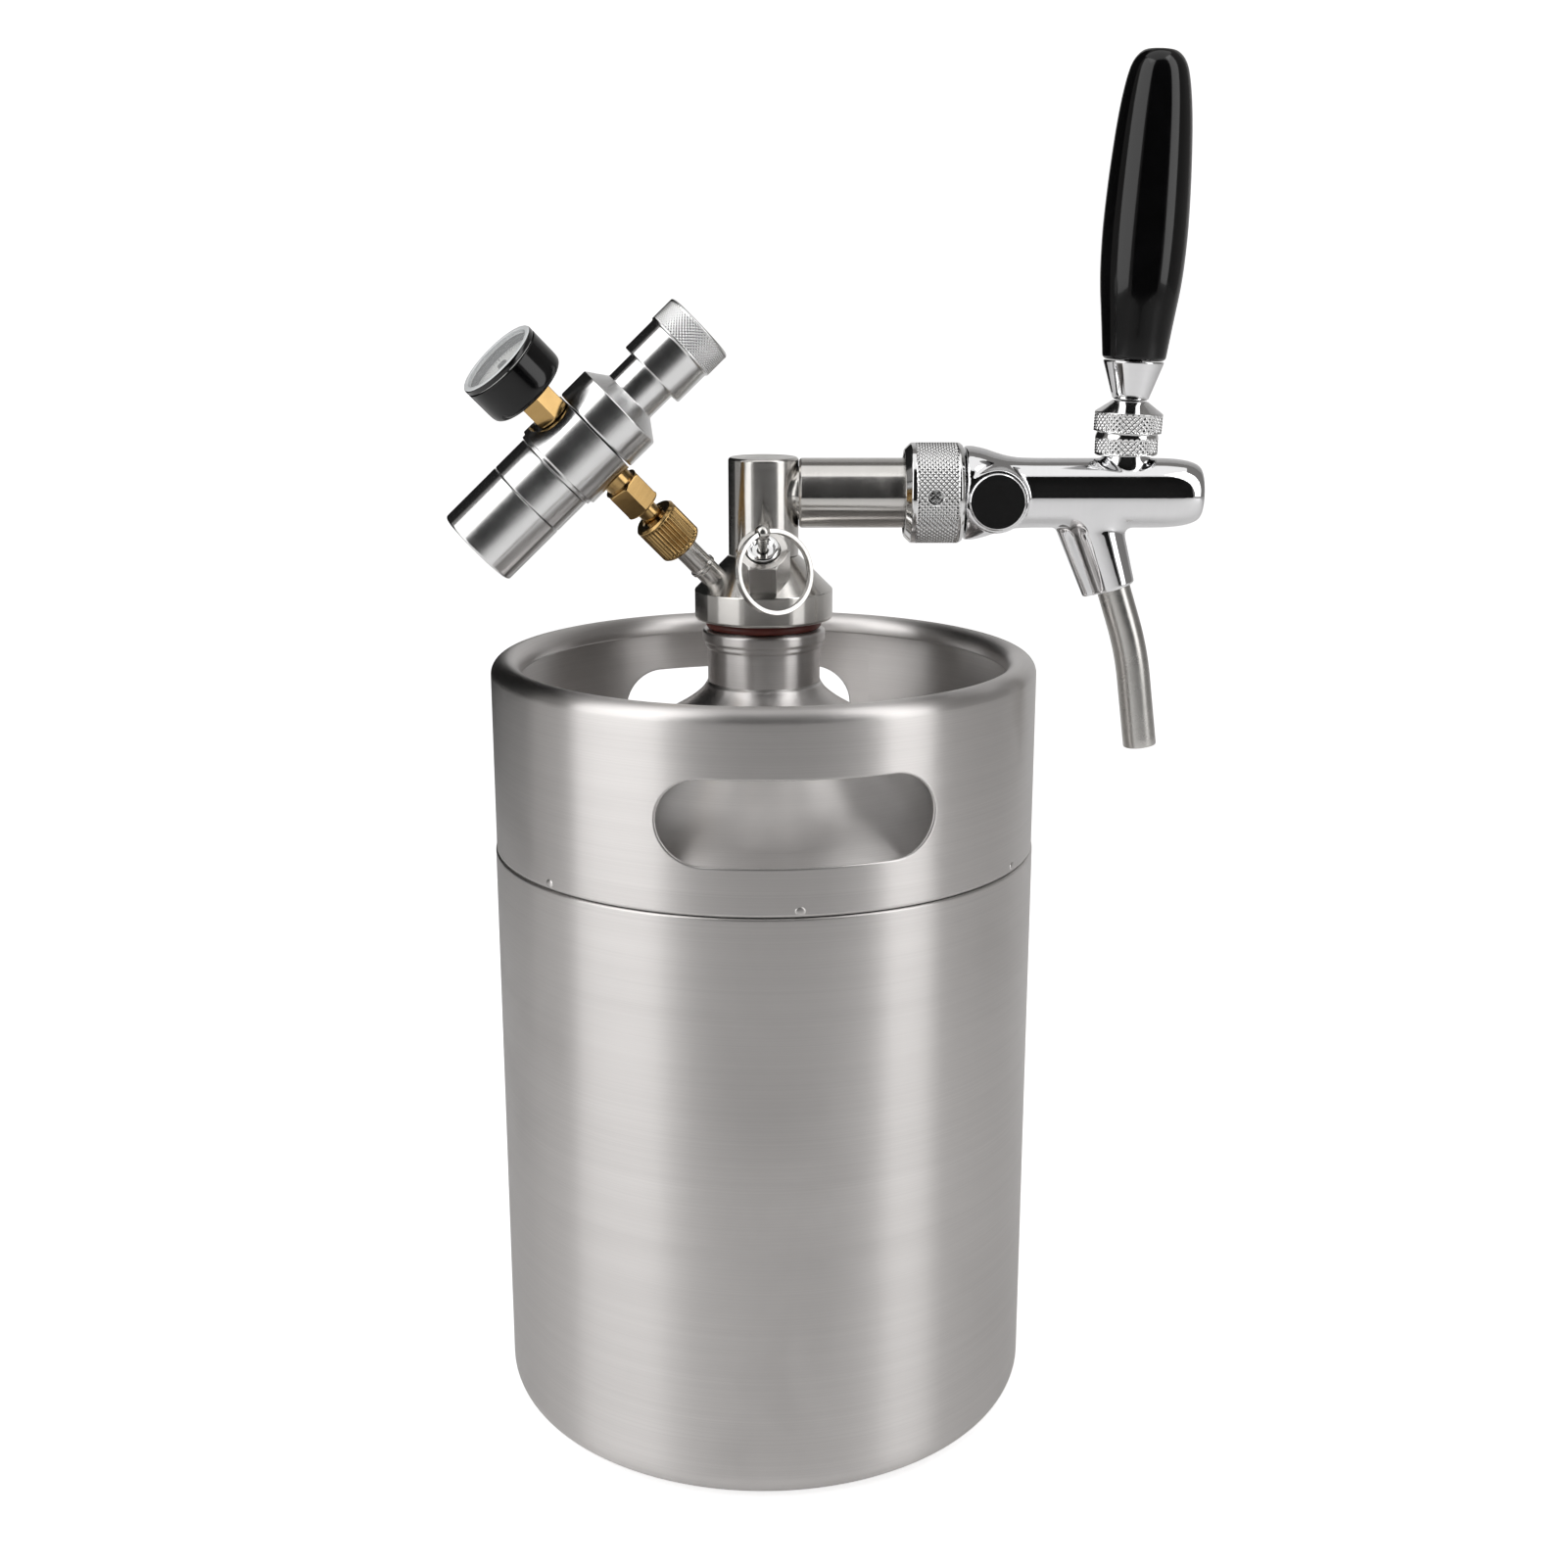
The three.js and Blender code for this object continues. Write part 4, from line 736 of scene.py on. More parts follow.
# Dip tube: a thin tube down to the base.
dip = {"outer": 4.0, "inner": 3.0, "bottom": 9.0, "top": 266.9}
dipOutline = rounded([[dip["inner"], dip["bottom"]], [dip["outer"], dip["bottom"]], [dip["outer"], dip["top"]],
                      [dip["inner"], dip["top"]]], 0.2)
makePiece("dipTube", [turned(dipOutline, 48)], "tap_head", ["dip_tube"], polishedSteel)

# Gas nipple on the cone, with its small ring and threaded end.
nipple = {"radius": 3.65, "ring": 4.15, "thread": 5.2, "bore": 1.8}
nippleOutline = rounded([[nipple["bore"], 20.6], [nipple["radius"], 20.6], [nipple["radius"], 28.0],
                         [nipple["ring"], 28.2], [nipple["ring"], 29.3], [nipple["radius"], 29.5],
                         [nipple["radius"], 38.2], [nipple["thread"], 38.6], [nipple["thread"], 45.4],
                         [nipple["bore"], 45.4]], 0.2)
makePiece("gasNipple", [turned(nippleOutline, 64, gas)], "tap_head", ["gas_nipple"], polishedSteel)
print("cap, tower and arm made")

# Relief valve: hex body with turned chamfers, a threaded cap in its mouth, stem with an eye, and pull ring.
valve = {"acrossFlats": 13.9, "bottom": 19.9, "top": 34.4, "foot": 4.5, "bore": 5.3, "hole": 1.8, "crown": 7.3}
valveOutline = rounded([[valve["hole"], 14.3], [valve["foot"], 14.3], [valve["foot"], valve["bottom"]],
                        [valve["crown"], valve["bottom"]], [8.03, 20.7], [8.03, 33.6], [valve["crown"], valve["top"]],
                        [valve["bore"], valve["top"]], [valve["bore"], 30.4], [3.5, 30.4], [3.5, 22],
                        [valve["hole"], 22]], 0.12)
makePiece("reliefBody", [turned(valveOutline, place=relief, angles=hexAngles(),
                                reshape=hexLimit(valve["acrossFlats"], 19.95, 34.35))],
          "tap_head", ["relief_body"], polishedSteel)
valveCap = {"outer": 5.0, "top": 35.7, "hole": 1.7}
valveCapOutline = rounded([[valveCap["hole"], 30.7], [valveCap["outer"], 30.7], [valveCap["outer"], 35.3],
                           [4.6, valveCap["top"]], [3.6, valveCap["top"]], [3.2, 34.1],
                           [valveCap["hole"], 34.1]], 0.2)
makePiece("reliefCap", [turned(valveCapOutline, 64, relief)], "tap_head", ["relief_cap"], knurledChrome)

# Stem: flange, rod and a round eye; the eye is a ball whose middle is drilled through along the ring's axis.
stem = {"rod": 1.35, "flange": 3.0, "eye": 2.3, "hole": 1.45, "eyeAt": 42.4}


def makeStem(c):
    rod = rounded([[0, 23.5], [c["flange"], 23.5], [c["flange"], 24.6], [c["rod"], 24.6],
                   [c["rod"], c["eyeAt"] - 2.1], [0, c["eyeAt"] - 2.0]], 0.2, 4, False)
    lug = arcPoints(0, 0, c["eye"], -52, 52, 16)
    bead = np.concatenate([lug, rounded([[c["hole"], 1.7], [c["hole"], -1.7]], 0.1, 3, False)])
    return [turned(rod, 40, relief, loop=False), turned(bead, 48, axesAt(eyePoint, eyeLine, reliefWay))]


makePiece("reliefStem", makeStem(stem), "relief_stem", ["relief_stem"], polishedSteel)

# Pull ring: a split ring of two flat turns, drawn as one ring with a groove round its middle.
pull = {"radius": 11.9, "halfWidth": 0.68, "halfHeight": 0.98, "groove": 0.16, "yaw": 30.0, "droop": 13.0,
        "around": 120}


def makePullRing(c):
    r, a, b, g = c["radius"], c["halfWidth"], c["halfHeight"], c["groove"]
    outline = rounded([[r - a, -b], [r + a, -b], [r + a, -0.12], [r + a - g, 0], [r + a, 0.12], [r + a, b],
                       [r - a, b], [r - a, 0.12], [r - a + g, 0], [r - a, -0.12]], 0.22)
    yaw, droop = math.radians(c["yaw"]), math.radians(c["droop"])
    level = np.array([math.cos(yaw), math.sin(yaw), 0])
    hang = (level - math.cos(droop) * eyeLine) / math.sin(droop)
    hang /= np.linalg.norm(hang)
    return turned(outline, c["around"], axesAt(eyePoint + hang * r, np.cross(eyeLine, hang), eyeLine))


makePiece("pullRing", [makePullRing(pull)], "relief_ring", ["relief_ring"], polishedSteel)
print("relief valve made")

# Coupling nut: smooth chamfered collar, diamond-knurled grip and a smooth rim.
nut = {"outer": 15.1, "start": 42.4, "end": 60.0, "knurlFrom": 45.6, "knurlTo": 58.4, "pitch": 1.6, "depth": 0.62,
       "count": 56, "samples": 6, "holeRadius": 2.0, "holeAt": 51.2}


def makeNut(c):
    start = rounded([[12.5, c["start"]], [13.1, c["start"]], [c["outer"], 44.4], [c["outer"], 45.4]], 0.3, 4, False)
    grip = band(c["outer"], c["knurlFrom"], c["knurlTo"], c["pitch"] / c["samples"])
    rim = rounded([[c["outer"], 58.6], [c["outer"], 58.9], [14.3, c["end"]], [11.4, c["end"]], [11.4, 58],
                   [12.5, 57.6], [12.5, c["start"] + 0.3]], 0.25, 4, False)
    press = diamondKnurl(c["count"], c["pitch"], c["depth"], c["knurlFrom"], c["knurlTo"], c["outer"])
    p, q, uv = turned(np.concatenate([start, grip, rim]), c["count"] * c["samples"], arm, press)
    x, y, z = p[:, 0] - c["holeAt"], p[:, 1], p[:, 2] - armHeight
    near = np.hypot(x, z)
    front = (y < 0) & (near < c["holeRadius"] + 0.35) & (np.hypot(y, z) > 12.8)
    drop = np.clip((c["holeRadius"] + 0.35 - near) / 0.45, 0, 1) * 2.2
    inward = np.stack([0 * y, y, z], 1) / np.maximum(np.hypot(y, z), 1e-6)[:, None]
    p[front] -= inward[front] * drop[front, None]
    return p, q, uv


makePiece("couplingNut", [makeNut(nut)], "coupling_nut", ["coupling_nut"], knurledChrome)


# Signed distance from points (radius, length) to a closed outline: the least distance to its sides,
# negative where an odd number of sides lies across the way out.
def outlineDistance(r, t, outline):
    p = np.asarray(outline, float)
    best, inside = np.full(r.shape, 1e9), np.zeros(r.shape, bool)
    for (ax, ay), (bx, by) in zip(p, np.roll(p, -1, 0)):
        ex, ey, wx, wy = bx - ax, by - ay, r - ax, t - ay
        h = np.clip((wx * ex + wy * ey) / max(ex * ex + ey * ey, 1e-12), 0, 1)
        best = np.minimum(best, np.hypot(wx - ex * h, wy - ey * h))
        cross = (ay > t) != (by > t)
        inside ^= cross & (r < ax + (t - ay) * ex / (ey if abs(ey) > 1e-12 else 1e-12))
    return np.where(inside, -best, best)


# The same for a solid of revolution from a point along a direction; both sides of the axis are outlined.
def roundDistance(p, origin, way, outline):
    way = np.array(way, float) / np.linalg.norm(way)
    d = p - np.array(origin, float)
    t = d @ way
    r = np.linalg.norm(d - t[:, None] * way, axis=1)
    half = np.asarray(outline, float)
    return outlineDistance(r, t, np.concatenate([half, half[::-1] * np.array([-1, 1])]))


def rod(radius, start, end, soft=0.0):
    return [[0, start], [radius - soft, start], [radius, start + soft], [radius, end - soft],
            [radius - soft, end], [0, end]]


# Joins two distances with a fillet: the lesser, lowered by (k - |a - b|)^2 / 4k where they are close.
def fillet(a, b, k):
    return np.minimum(a, b) - np.maximum(k - np.abs(a - b), 0) ** 2 / (4 * k)


# Faucet body: one cast and plated shape; its surface is where a distance made of filleted turned
# shapes, less its bores, is zero.
faucet = {"start": 52.0, "end": 132.5, "tube": 10.45, "flow": (69.6, 0, 290.1), "boss": 9.4, "bossHalf": 13.2,
          "leverX": 109.2, "leverBoss": 6.7, "leverBossTop": 304.4, "spoutTop": (101.5, 0, 279.6),
          "spoutBottom": (107.0, 0, 262.6), "ventTop": (92.0, 0, 280.4), "ventBottom": (100.0, 0, 260.4),
          "voxel": 0.00052, "steps": 5}


def faucetDistance(p, c):
    axis = (0, 0, armHeight)
    nose = flowing([[c["tube"], 118], [10.4, 122], [9.9, 127], [8.9, 130.4], [7.6, 132.1], [5.5, c["end"]],
                    [0, c["end"]]], 4)
    flare = flowing([[14.1, 61.4], [14.1, 63], [13.4, 66.5], [12.0, 70.5], [10.9, 74.4], [c["tube"], 79],
                     [c["tube"], 90]], 4)
    shell = np.concatenate([[[0, c["start"]], [11.5, c["start"]], [11.8, 52.3], [11.8, 56.9], [11.5, 57.3],
                             [11, 57.5], [11, 60.3],
                             [13.7, 60.6], [14.0, 60.9]], flare, nose])
    d = roundDistance(p, axis, (1, 0, 0), shell)
    d = fillet(d, roundDistance(p, c["flow"], (0, 1, 0), rod(c["boss"], -c["bossHalf"], c["bossHalf"], 0.35)), 1.6)
    d = fillet(d, roundDistance(p, (c["leverX"], 0, 0), (0, 0, 1), rod(c["leverBoss"], armHeight,
                                                                     c["leverBossTop"], 0.25)), 1.6)
    top, bottom = np.array(c["spoutTop"]), np.array(c["spoutBottom"])
    length = np.linalg.norm(bottom - top)
    d = fillet(d, roundDistance(p, top, bottom - top, [[0, -7], [8.2, -7], [7.9, 0], [6.65, length - 0.4],
                                                        [6.3, length], [0, length]]), 3.2)
    ventTop, ventBottom = np.array(c["ventTop"]), np.array(c["ventBottom"])
    ventLength = np.linalg.norm(ventBottom - ventTop)
    vent = roundDistance(p, ventTop, ventBottom - ventTop, [[0, -6], [3.1, -6], [2.9, 0], [2.35, ventLength - 0.4],
                                                             [2.0, ventLength], [0, ventLength]])
    web = np.maximum(outlineDistance(p[:, 0], p[:, 2], [[91, 284], [101, 284], [106.5, 263.4], [100.2, 261]]),
                     np.abs(p[:, 1]) - 1.2)
    d = fillet(d, fillet(vent, web, 1.0), 1.4)
    flowAt = c["flow"]
    cuts = [roundDistance(p, axis, (1, 0, 0), rod(7.2, 50, 86.5)),
            roundDistance(p, axis, (1, 0, 0), rod(4.2, 80, 92)),
            roundDistance(p, axis, (1, 0, 0), rod(5.7, 88.5, 129)),
            roundDistance(p, flowAt, (0, -1, 0), rod(7.4, 4, 16.2)),
            roundDistance(p, flowAt, (0, 1, 0), rod(2.45, 4, 16.2)),
            roundDistance(p, flowAt, (0, 1, 0), rod(4.4, 9.4, 11.8)),
            roundDistance(p, (c["leverX"], 0, 0), (0, 0, 1), rod(5.55, 300.4, 306.4)),
            np.maximum(outlineDistance(p[:, 0] - c["leverX"], p[:, 2], [[-9.4, 295.6], [2.8, 295.6], [2.8, 301],
                                                                         [-5.6, 301]]), np.abs(p[:, 1]) - 2.1),
            roundDistance(p, top, bottom - top, rod(4.2, -9, length)),
            roundDistance(p, top, bottom - top, rod(5.4, length * 0.58, length + 4))]
    return np.maximum(d, -np.min(cuts, axis=0))


# The CAD casting is copied and remeshed evenly, then each point steps down the distance's slope to zero.
def makeFaucet(c):
    mesh = frame["nodes"]["faucet_body"].data.copy()
    work = bmesh.new()
    work.from_mesh(mesh)
    bmesh.ops.remove_doubles(work, verts=work.verts, dist=2e-6)
    work.to_mesh(mesh)
    work.free()
    piece = bpy.data.objects.new("faucetBody", mesh)
    bpy.context.scene.collection.objects.link(piece)
    even = piece.modifiers.new("even", "REMESH")
    even.mode, even.voxel_size = "VOXEL", c["voxel"]
    bpy.context.view_layer.update()
    made = bpy.data.meshes.new_from_object(piece.evaluated_get(bpy.context.evaluated_depsgraph_get()))
    piece.modifiers.clear()
    piece.data = made
    made.name = "faucetBody"
    p = np.zeros(len(made.vertices) * 3, np.float32)
    made.vertices.foreach_get("co", p)
    p = p.reshape(-1, 3).astype(float) * 1000
    probe = np.eye(3) * 0.02
    for _ in range(c["steps"]):
        here = faucetDistance(p, c)
        slope = np.stack([faucetDistance(p + k, c) - faucetDistance(p - k, c) for k in probe], 1) / 0.04
        step = here[:, None] * slope / np.maximum((slope ** 2).sum(1), 0.3)[:, None]
        p -= np.clip(step, -0.4, 0.4)
    made.vertices.foreach_set("co", (p * 0.001).astype(np.float32).ravel())
    made.update()
    made.polygons.foreach_set("use_smooth", np.ones(len(made.polygons), bool))
    made.uv_layers.new(name="surfaceMap")
    loopVertex = np.zeros(len(made.loops), np.int32)
    made.loops.foreach_get("vertex_index", loopVertex)
    flat = np.stack([0 * p[:, 0], p[:, 0] * 0.001], 1)[loopVertex]
    made.uv_layers["surfaceMap"].data.foreach_set("uv", flat.astype(np.float32).ravel())
    made.materials.clear()
    made.materials.append(chromePlate)
    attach(piece, "tap_head")
    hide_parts("faucet_body")
    return piece


makeFaucet(faucet)
print("faucet body made")

# Spout: straight out of its socket, one gentle bend, then nearly plumb, with a rounded lip.
spout = {"outer": 5.1, "inner": 4.2, "bend": (113.3, 0, 243.2), "tip": (117.3, 0, 213.0), "bendLength": 9.0,
         "inSocket": 6.4}


def makeSpout(c):
    top, bottom = np.array(faucet["spoutTop"]), np.array(faucet["spoutBottom"])
    bend, tip = np.array(c["bend"], float), np.array(c["tip"], float)
    slant = (bottom - top) / np.linalg.norm(bottom - top)
    plumb = (tip - bend) / np.linalg.norm(tip - bend)
    first, last = bend - slant * c["bendLength"], bend + plumb * c["bendLength"]
    begin = bottom - slant * c["inSocket"]
    t = np.linspace(0, 1, 14)[:, None]
    curve = (1 - t) ** 2 * first + 2 * t * (1 - t) * bend + t ** 2 * last
    run = np.concatenate([np.linspace(begin, first, 8)[:-1], curve, np.linspace(last, tip, 8)[1:]])
    wall = (c["outer"] - c["inner"]) / 2
    a = np.linspace(0, math.pi, 7)[1:-1]
    lip = tip + plumb * 0 + np.zeros((5, 3)) - plumb * (wall * (1 - np.sin(a)))[:, None]
    path = np.concatenate([run[:-1], [tip - plumb * wall], lip, [tip - plumb * wall], run[::-1][1:]])
    radii = np.concatenate([np.full(len(run), c["outer"]), c["inner"] + wall * (1 + np.cos(a)),
                            np.full(len(run), c["inner"])])
    p, q, uv = carried(path, radii, 64)
    return fixedSides(path, radii, q, uv, slant, plumb, first, last)


# The section's side directions come from the path's height share, so that the lip's tight points stay square.
def fixedSides(path, radii, q, uv, slant, plumb, first, last):
    share = np.clip((first[2] - path[:, 2]) / (first[2] - last[2]), 0, 1)[:, None]
    tangent = slant * (1 - share) + plumb * share
    tangent /= np.linalg.norm(tangent, axis=1)[:, None]
    side = np.array([0, 1.0, 0])
    other = np.cross(tangent, side)
    a = np.arange(64) * 2 * math.pi / 64
    ring = np.cos(a)[None, :, None] * side[None, None] + np.sin(a)[None, :, None] * other[:, None]
    return (path[:, None] + radii[:, None, None] * ring).reshape(-1, 3), q, uv


makePiece("spoutTube", [makeSpout(spout)], "tap_head", ["spout_tube"], satinSpout)

# Flow control: polished disc on the front boss, hub and paddle behind, and its screw.
flowDisc = {"radius": 8.5, "start": 13.5, "end": 14.7, "plug": 7.1}
discOutline = rounded([[0, 8], [flowDisc["plug"], 8], [flowDisc["plug"], flowDisc["start"]],
                       [flowDisc["radius"], flowDisc["start"]],
                       [flowDisc["radius"], 14.3], [8.05, flowDisc["end"]], [0, flowDisc["end"]]], 0.16, 4, False)
makePiece("flowPlug", [turned(discOutline, 96, flowFront, loop=False)], "tap_head", ["flow_plug"], chromePlate)
flowLever = {"hub": 4.6, "length": 22.0, "rootHalf": 3.0, "tipHalf": 3.4, "front": 13.8, "back": 16.4}


# Paddle: a plate whose outline is a long rounded tongue, as rows shrinking to its middle at both faces.
def makePaddle(c):
    a = np.radians(np.linspace(-90, 90, 25))
    tip = np.stack([c["length"] + c["tipHalf"] * np.cos(a), c["tipHalf"] * np.sin(a)], 1)
    root = np.array([[3.5, c["rootHalf"]], [3.5, -c["rootHalf"]]])
    waist = np.array([[16, 2.6]]), np.array([[16, -2.6]])
    outline = np.concatenate([waist[1], tip, waist[0], root])
    middle = np.array([12.0, 0.0])
    size = np.array([0.0, 0.97, 1.0, 1.0, 0.97, 0.0])[:, None, None]
    depth = np.array([c["front"], c["front"], c["front"] + 0.4, c["back"] - 0.4, c["back"], c["back"]])
    flat = middle + (outline - middle)[None] * size
    local = np.concatenate([flat, np.repeat(depth[:, None, None], len(outline), 1)], -1).reshape(-1, 3)
    quads, u, i, j = gridFaces(6, len(outline), False)
    v = np.stack([i, i, i + 1, i + 1], -1) * 0.001 + 0.0 * j[..., None]
    origin, basis = flowBack
    return local @ basis.T + origin, quads, np.stack([u, v.reshape(-1, 4)], -1)


hubOutline = rounded([[2.5, 13.8], [flowLever["hub"], 13.8], [flowLever["hub"], 17.0], [2.5, 17.0]], 0.35)
makePiece("flowLever", [makePaddle(flowLever), turned(hubOutline, 64, flowBack)], "flow_lever", ["flow_lever"],
          chromePlate)
screwOutline = rounded([[0, 14], [0.9, 14], [0.9, 17.5], [3.4, 17.5], [3.4, 18.7], [2.7, 19.2], [1.5, 19.2],
                        [1.3, 18.1], [0, 18.1]], 0.2, 4, False)
makePiece("leverScrew", [turned(screwOutline, place=flowBack, angles=hexAngles(), loop=False)], "flow_lever",
          ["lever_screw"], polishedSteel)
print("spout and flow control made")

# Bonnet under the handle: a knurled ring with a dome about the ball's centre, open for the stem.
bonnet = {"radius": 9.4, "bottom": 302.9, "dome": 9.75, "openAt": 28.0, "pitch": 1.7,
          "depth": 0.55, "count": 34, "samples": 8}


def makeBonnet(c):
    place = axesAt((pivot[0], 0, 0), (0, 0, 1), (1, 0, 0))
    foot = rounded([[7, c["bottom"]], [9.1, c["bottom"]], [c["radius"], c["bottom"] + 0.3]], 0.1, 3, False)
    grip = band(c["radius"], 303.3, 307.9, c["pitch"] / c["samples"])
    startAngle = math.degrees(math.acos(c["radius"] / c["dome"]))
    dome = arcPoints(0, pivot[2], c["dome"], startAngle, c["openAt"], 8)
    under = arcPoints(0, pivot[2], 7.4, c["openAt"], 19, 5)
    outline = np.concatenate([foot, grip, dome, under])
    press = diamondKnurl(c["count"], c["pitch"], c["depth"], 303.3, 307.9, c["radius"])
    return turned(outline, c["count"] * c["samples"], place, press)


makePiece("tapBonnet", [makeBonnet(bonnet)], "tap_head", ["tap_bonnet"], knurledChrome)

# Lever: ball, stem and pin in one.
ballLever = {"ball": 5.3, "stem": 2.6, "top": 38.0, "pinDrop": 14.3, "pinBall": 1.9}


def makeLever(c):
    tip = arcPoints(0, -c["pinDrop"], c["pinBall"], -90, 46, 10)
    ball = arcPoints(0, 0, c["ball"], -75.8, 60.6, 28)
    outline = np.concatenate([tip, ball, [[c["stem"], c["top"] - 0.4], [c["stem"] - 0.4, c["top"]], [0, c["top"]]]])
    return turned(outline, 64, lever, loop=False)


makePiece("tapLever", [makeLever(ballLever)], "tap_handle", ["tap_lever"], polishedSteel)

# Lever collar: knurled cup over the dome, with a cone up to the ferrule.
leverCollar = {"outer": 10.15, "cup": 10.05, "bottom": 3.9, "shoulder": 9.7, "top": 13.2, "neck": 5.2, "hole": 2.9,
               "pitch": 1.7, "depth": 0.55, "count": 37, "samples": 8}


def makeCollar(c):
    startAngle = math.degrees(math.asin(c["bottom"] / c["cup"]))
    inside = arcPoints(0, 0, c["cup"], 73, startAngle, 10)
    grip = band(c["outer"], c["bottom"] + 0.1, c["shoulder"] - 0.2, c["pitch"] / c["samples"])
    cone = rounded([[c["outer"], c["shoulder"] - 0.1], [c["outer"], c["shoulder"]], [c["neck"], c["top"]],
                    [c["hole"], c["top"]]], 0.35, 4, False)
    press = diamondKnurl(c["count"], c["pitch"], c["depth"], c["bottom"] + 0.1, c["shoulder"] - 0.2, c["outer"])
    return turned(np.concatenate([inside, grip, cone]), c["count"] * c["samples"], lever, press)


makePiece("leverCollar", [makeCollar(leverCollar)], "tap_handle", ["lever_collar"], knurledChrome)

# Ferrule: a bright flared cup under the grip.
ferrule = {"hole": 2.9, "bottom": 13.5, "foot": 4.9, "waist": 5.4, "top": 24.9, "flare": 9.0}
ferruleOutline = np.concatenate([
    rounded([[ferrule["hole"], ferrule["top"]], [ferrule["hole"], ferrule["bottom"]],
             [ferrule["foot"], ferrule["bottom"]], [ferrule["waist"], 13.9]], 0.25, 4, False),
    rounded([[6.0, 15.6], [ferrule["flare"], 24.5], [ferrule["flare"] - 0.1, ferrule["top"]], [6, ferrule["top"]]],
            0.25, 4, False)])
makePiece("handleFerrule", [turned(ferruleOutline, 128, lever)], "tap_handle", ["handle_ferrule"], chromePlate)

# Grip: a turned gloss-black handle with a soft belly and a rounded crown.
grip = {"bore": 4.9, "bottom": 25.2, "foot": 8.7, "socketTop": 42.0, "around": 160,
        "belly": ((9.55, 27.0), (10.7, 37.0), (12.1, 48.0), (12.5, 60.0), (12.3, 70.0), (11.66, 82.6), (10.6, 95.6),
                  (9.2, 104.6), (7.8, 109.4), (5.2, 112.3), (2.4, 112.7), (0.0, 112.7))}


def makeGrip(c):
    foot = rounded([[0, c["socketTop"]], [c["bore"], c["socketTop"]], [c["bore"], c["bottom"]],
                    [c["foot"], c["bottom"]], [9.4, 25.9], [9.5, 26.6]], 0.3, 4, False)
    return turned(np.concatenate([foot[:-1], flowing(c["belly"], 8)]), c["around"], lever, loop=False)


makePiece("tapHandle", [makeGrip(grip)], "tap_handle", ["tap_handle"], glossBlack)
print("handle made")

# Regulator: sleeve for the cartridge, inlet body, main body with two spot faces, and bonnet.
sleeve = {"outer": 12.65, "bore": 10.4, "bottom": -42.7, "top": -22.6}
sleeveOutline = rounded([[sleeve["bore"], sleeve["bottom"]], [12.1, sleeve["bottom"]], [sleeve["outer"], -42.2],
                         [sleeve["outer"], sleeve["top"]], [sleeve["bore"], sleeve["top"]]], 0.3)
makePiece("cartridgeSleeve", [turned(sleeveOutline, 128, regulator)], "regulator", ["cartridge_sleeve"],
          brightAluminium)
inlet = {"outer": 12.65, "bore": 10.4, "bottom": -22.3, "top": -11.1}
inletOutline = rounded([[inlet["bore"], inlet["bottom"]], [inlet["outer"], inlet["bottom"]],
                        [inlet["outer"], inlet["top"]], [9.8, inlet["top"]], [9.8, -16.6], [5.6, -16.6],
                        [5.6, -19.4], [inlet["bore"], -19.4]], 0.3)
makePiece("inletBody", [turned(inletOutline, 128, regulator)], "regulator", ["inlet_body"], brightAluminium)
regBody = {"radius": 14.1, "step": 13.3, "spotFace": 11.9, "spotRadius": 7.6}


# The two spot faces are flats: points past the flat and within its radius are brought back to it.
def makeRegBody(c):
    rows = np.stack([np.full(40, c["radius"]), np.linspace(-9.0, 4.8, 40)], 1)
    outline = np.concatenate([
        rounded([[2.6, 4.2], [2.6, -16.2], [9.5, -16.2], [9.5, -10.8], [c["step"], -10.8], [c["step"], -9.7],
                 [c["radius"], -9.4], [c["radius"], -9.2]], 0.2, 4, False), rows,
        rounded([[c["radius"], 5.0], [c["radius"], 5.2], [11.6, 5.2], [11.6, 4.2], [2.7, 4.2]], 0.2, 4, False)])
    origin, basis = regulator
    p, q, uv = turned(outline, 288, regulator)
    local = (p - origin) @ basis
    near = np.hypot(local[:, 1], local[:, 2])
    spot = (near < c["spotRadius"]) & (np.abs(local[:, 0]) > c["spotFace"])
    local[spot, 0] = np.sign(local[spot, 0]) * c["spotFace"]
    return local @ basis.T + origin, q, uv


makePiece("regulatorBody", [makeRegBody(regBody)], "regulator", ["regulator_body"], brightAluminium)
regBonnet = {"radius": 14.1, "neck": 8.3, "bottom": 5.6, "coneFrom": 15.2, "coneTo": 19.4, "top": 35.0}
regBonnetOutline = rounded([[11.6, regBonnet["bottom"]], [13.7, regBonnet["bottom"]], [regBonnet["radius"], 6.0],
                            [regBonnet["radius"], regBonnet["coneFrom"]], [regBonnet["neck"], regBonnet["coneTo"]],
                            [regBonnet["neck"], regBonnet["top"]], [4.3, regBonnet["top"]], [4.3, 22.4], [6.6, 22.4],
                            [6.6, 13], [11.6, 13]], 0.35)
makePiece("regulatorBonnet", [turned(regBonnetOutline, 128, regulator)], "regulator", ["regulator_bonnet"],
          brightAluminium)

# Adjusting knob: smooth sleeve, then a diamond-knurled head.
knob = {"sleeve": 10.75, "grip": 11.25, "bottom": 28.2, "gripFrom": 39.8, "gripTo": 47.2, "top": 47.8, "pitch": 1.1,
        "depth": 0.36, "count": 64, "samples": 6}


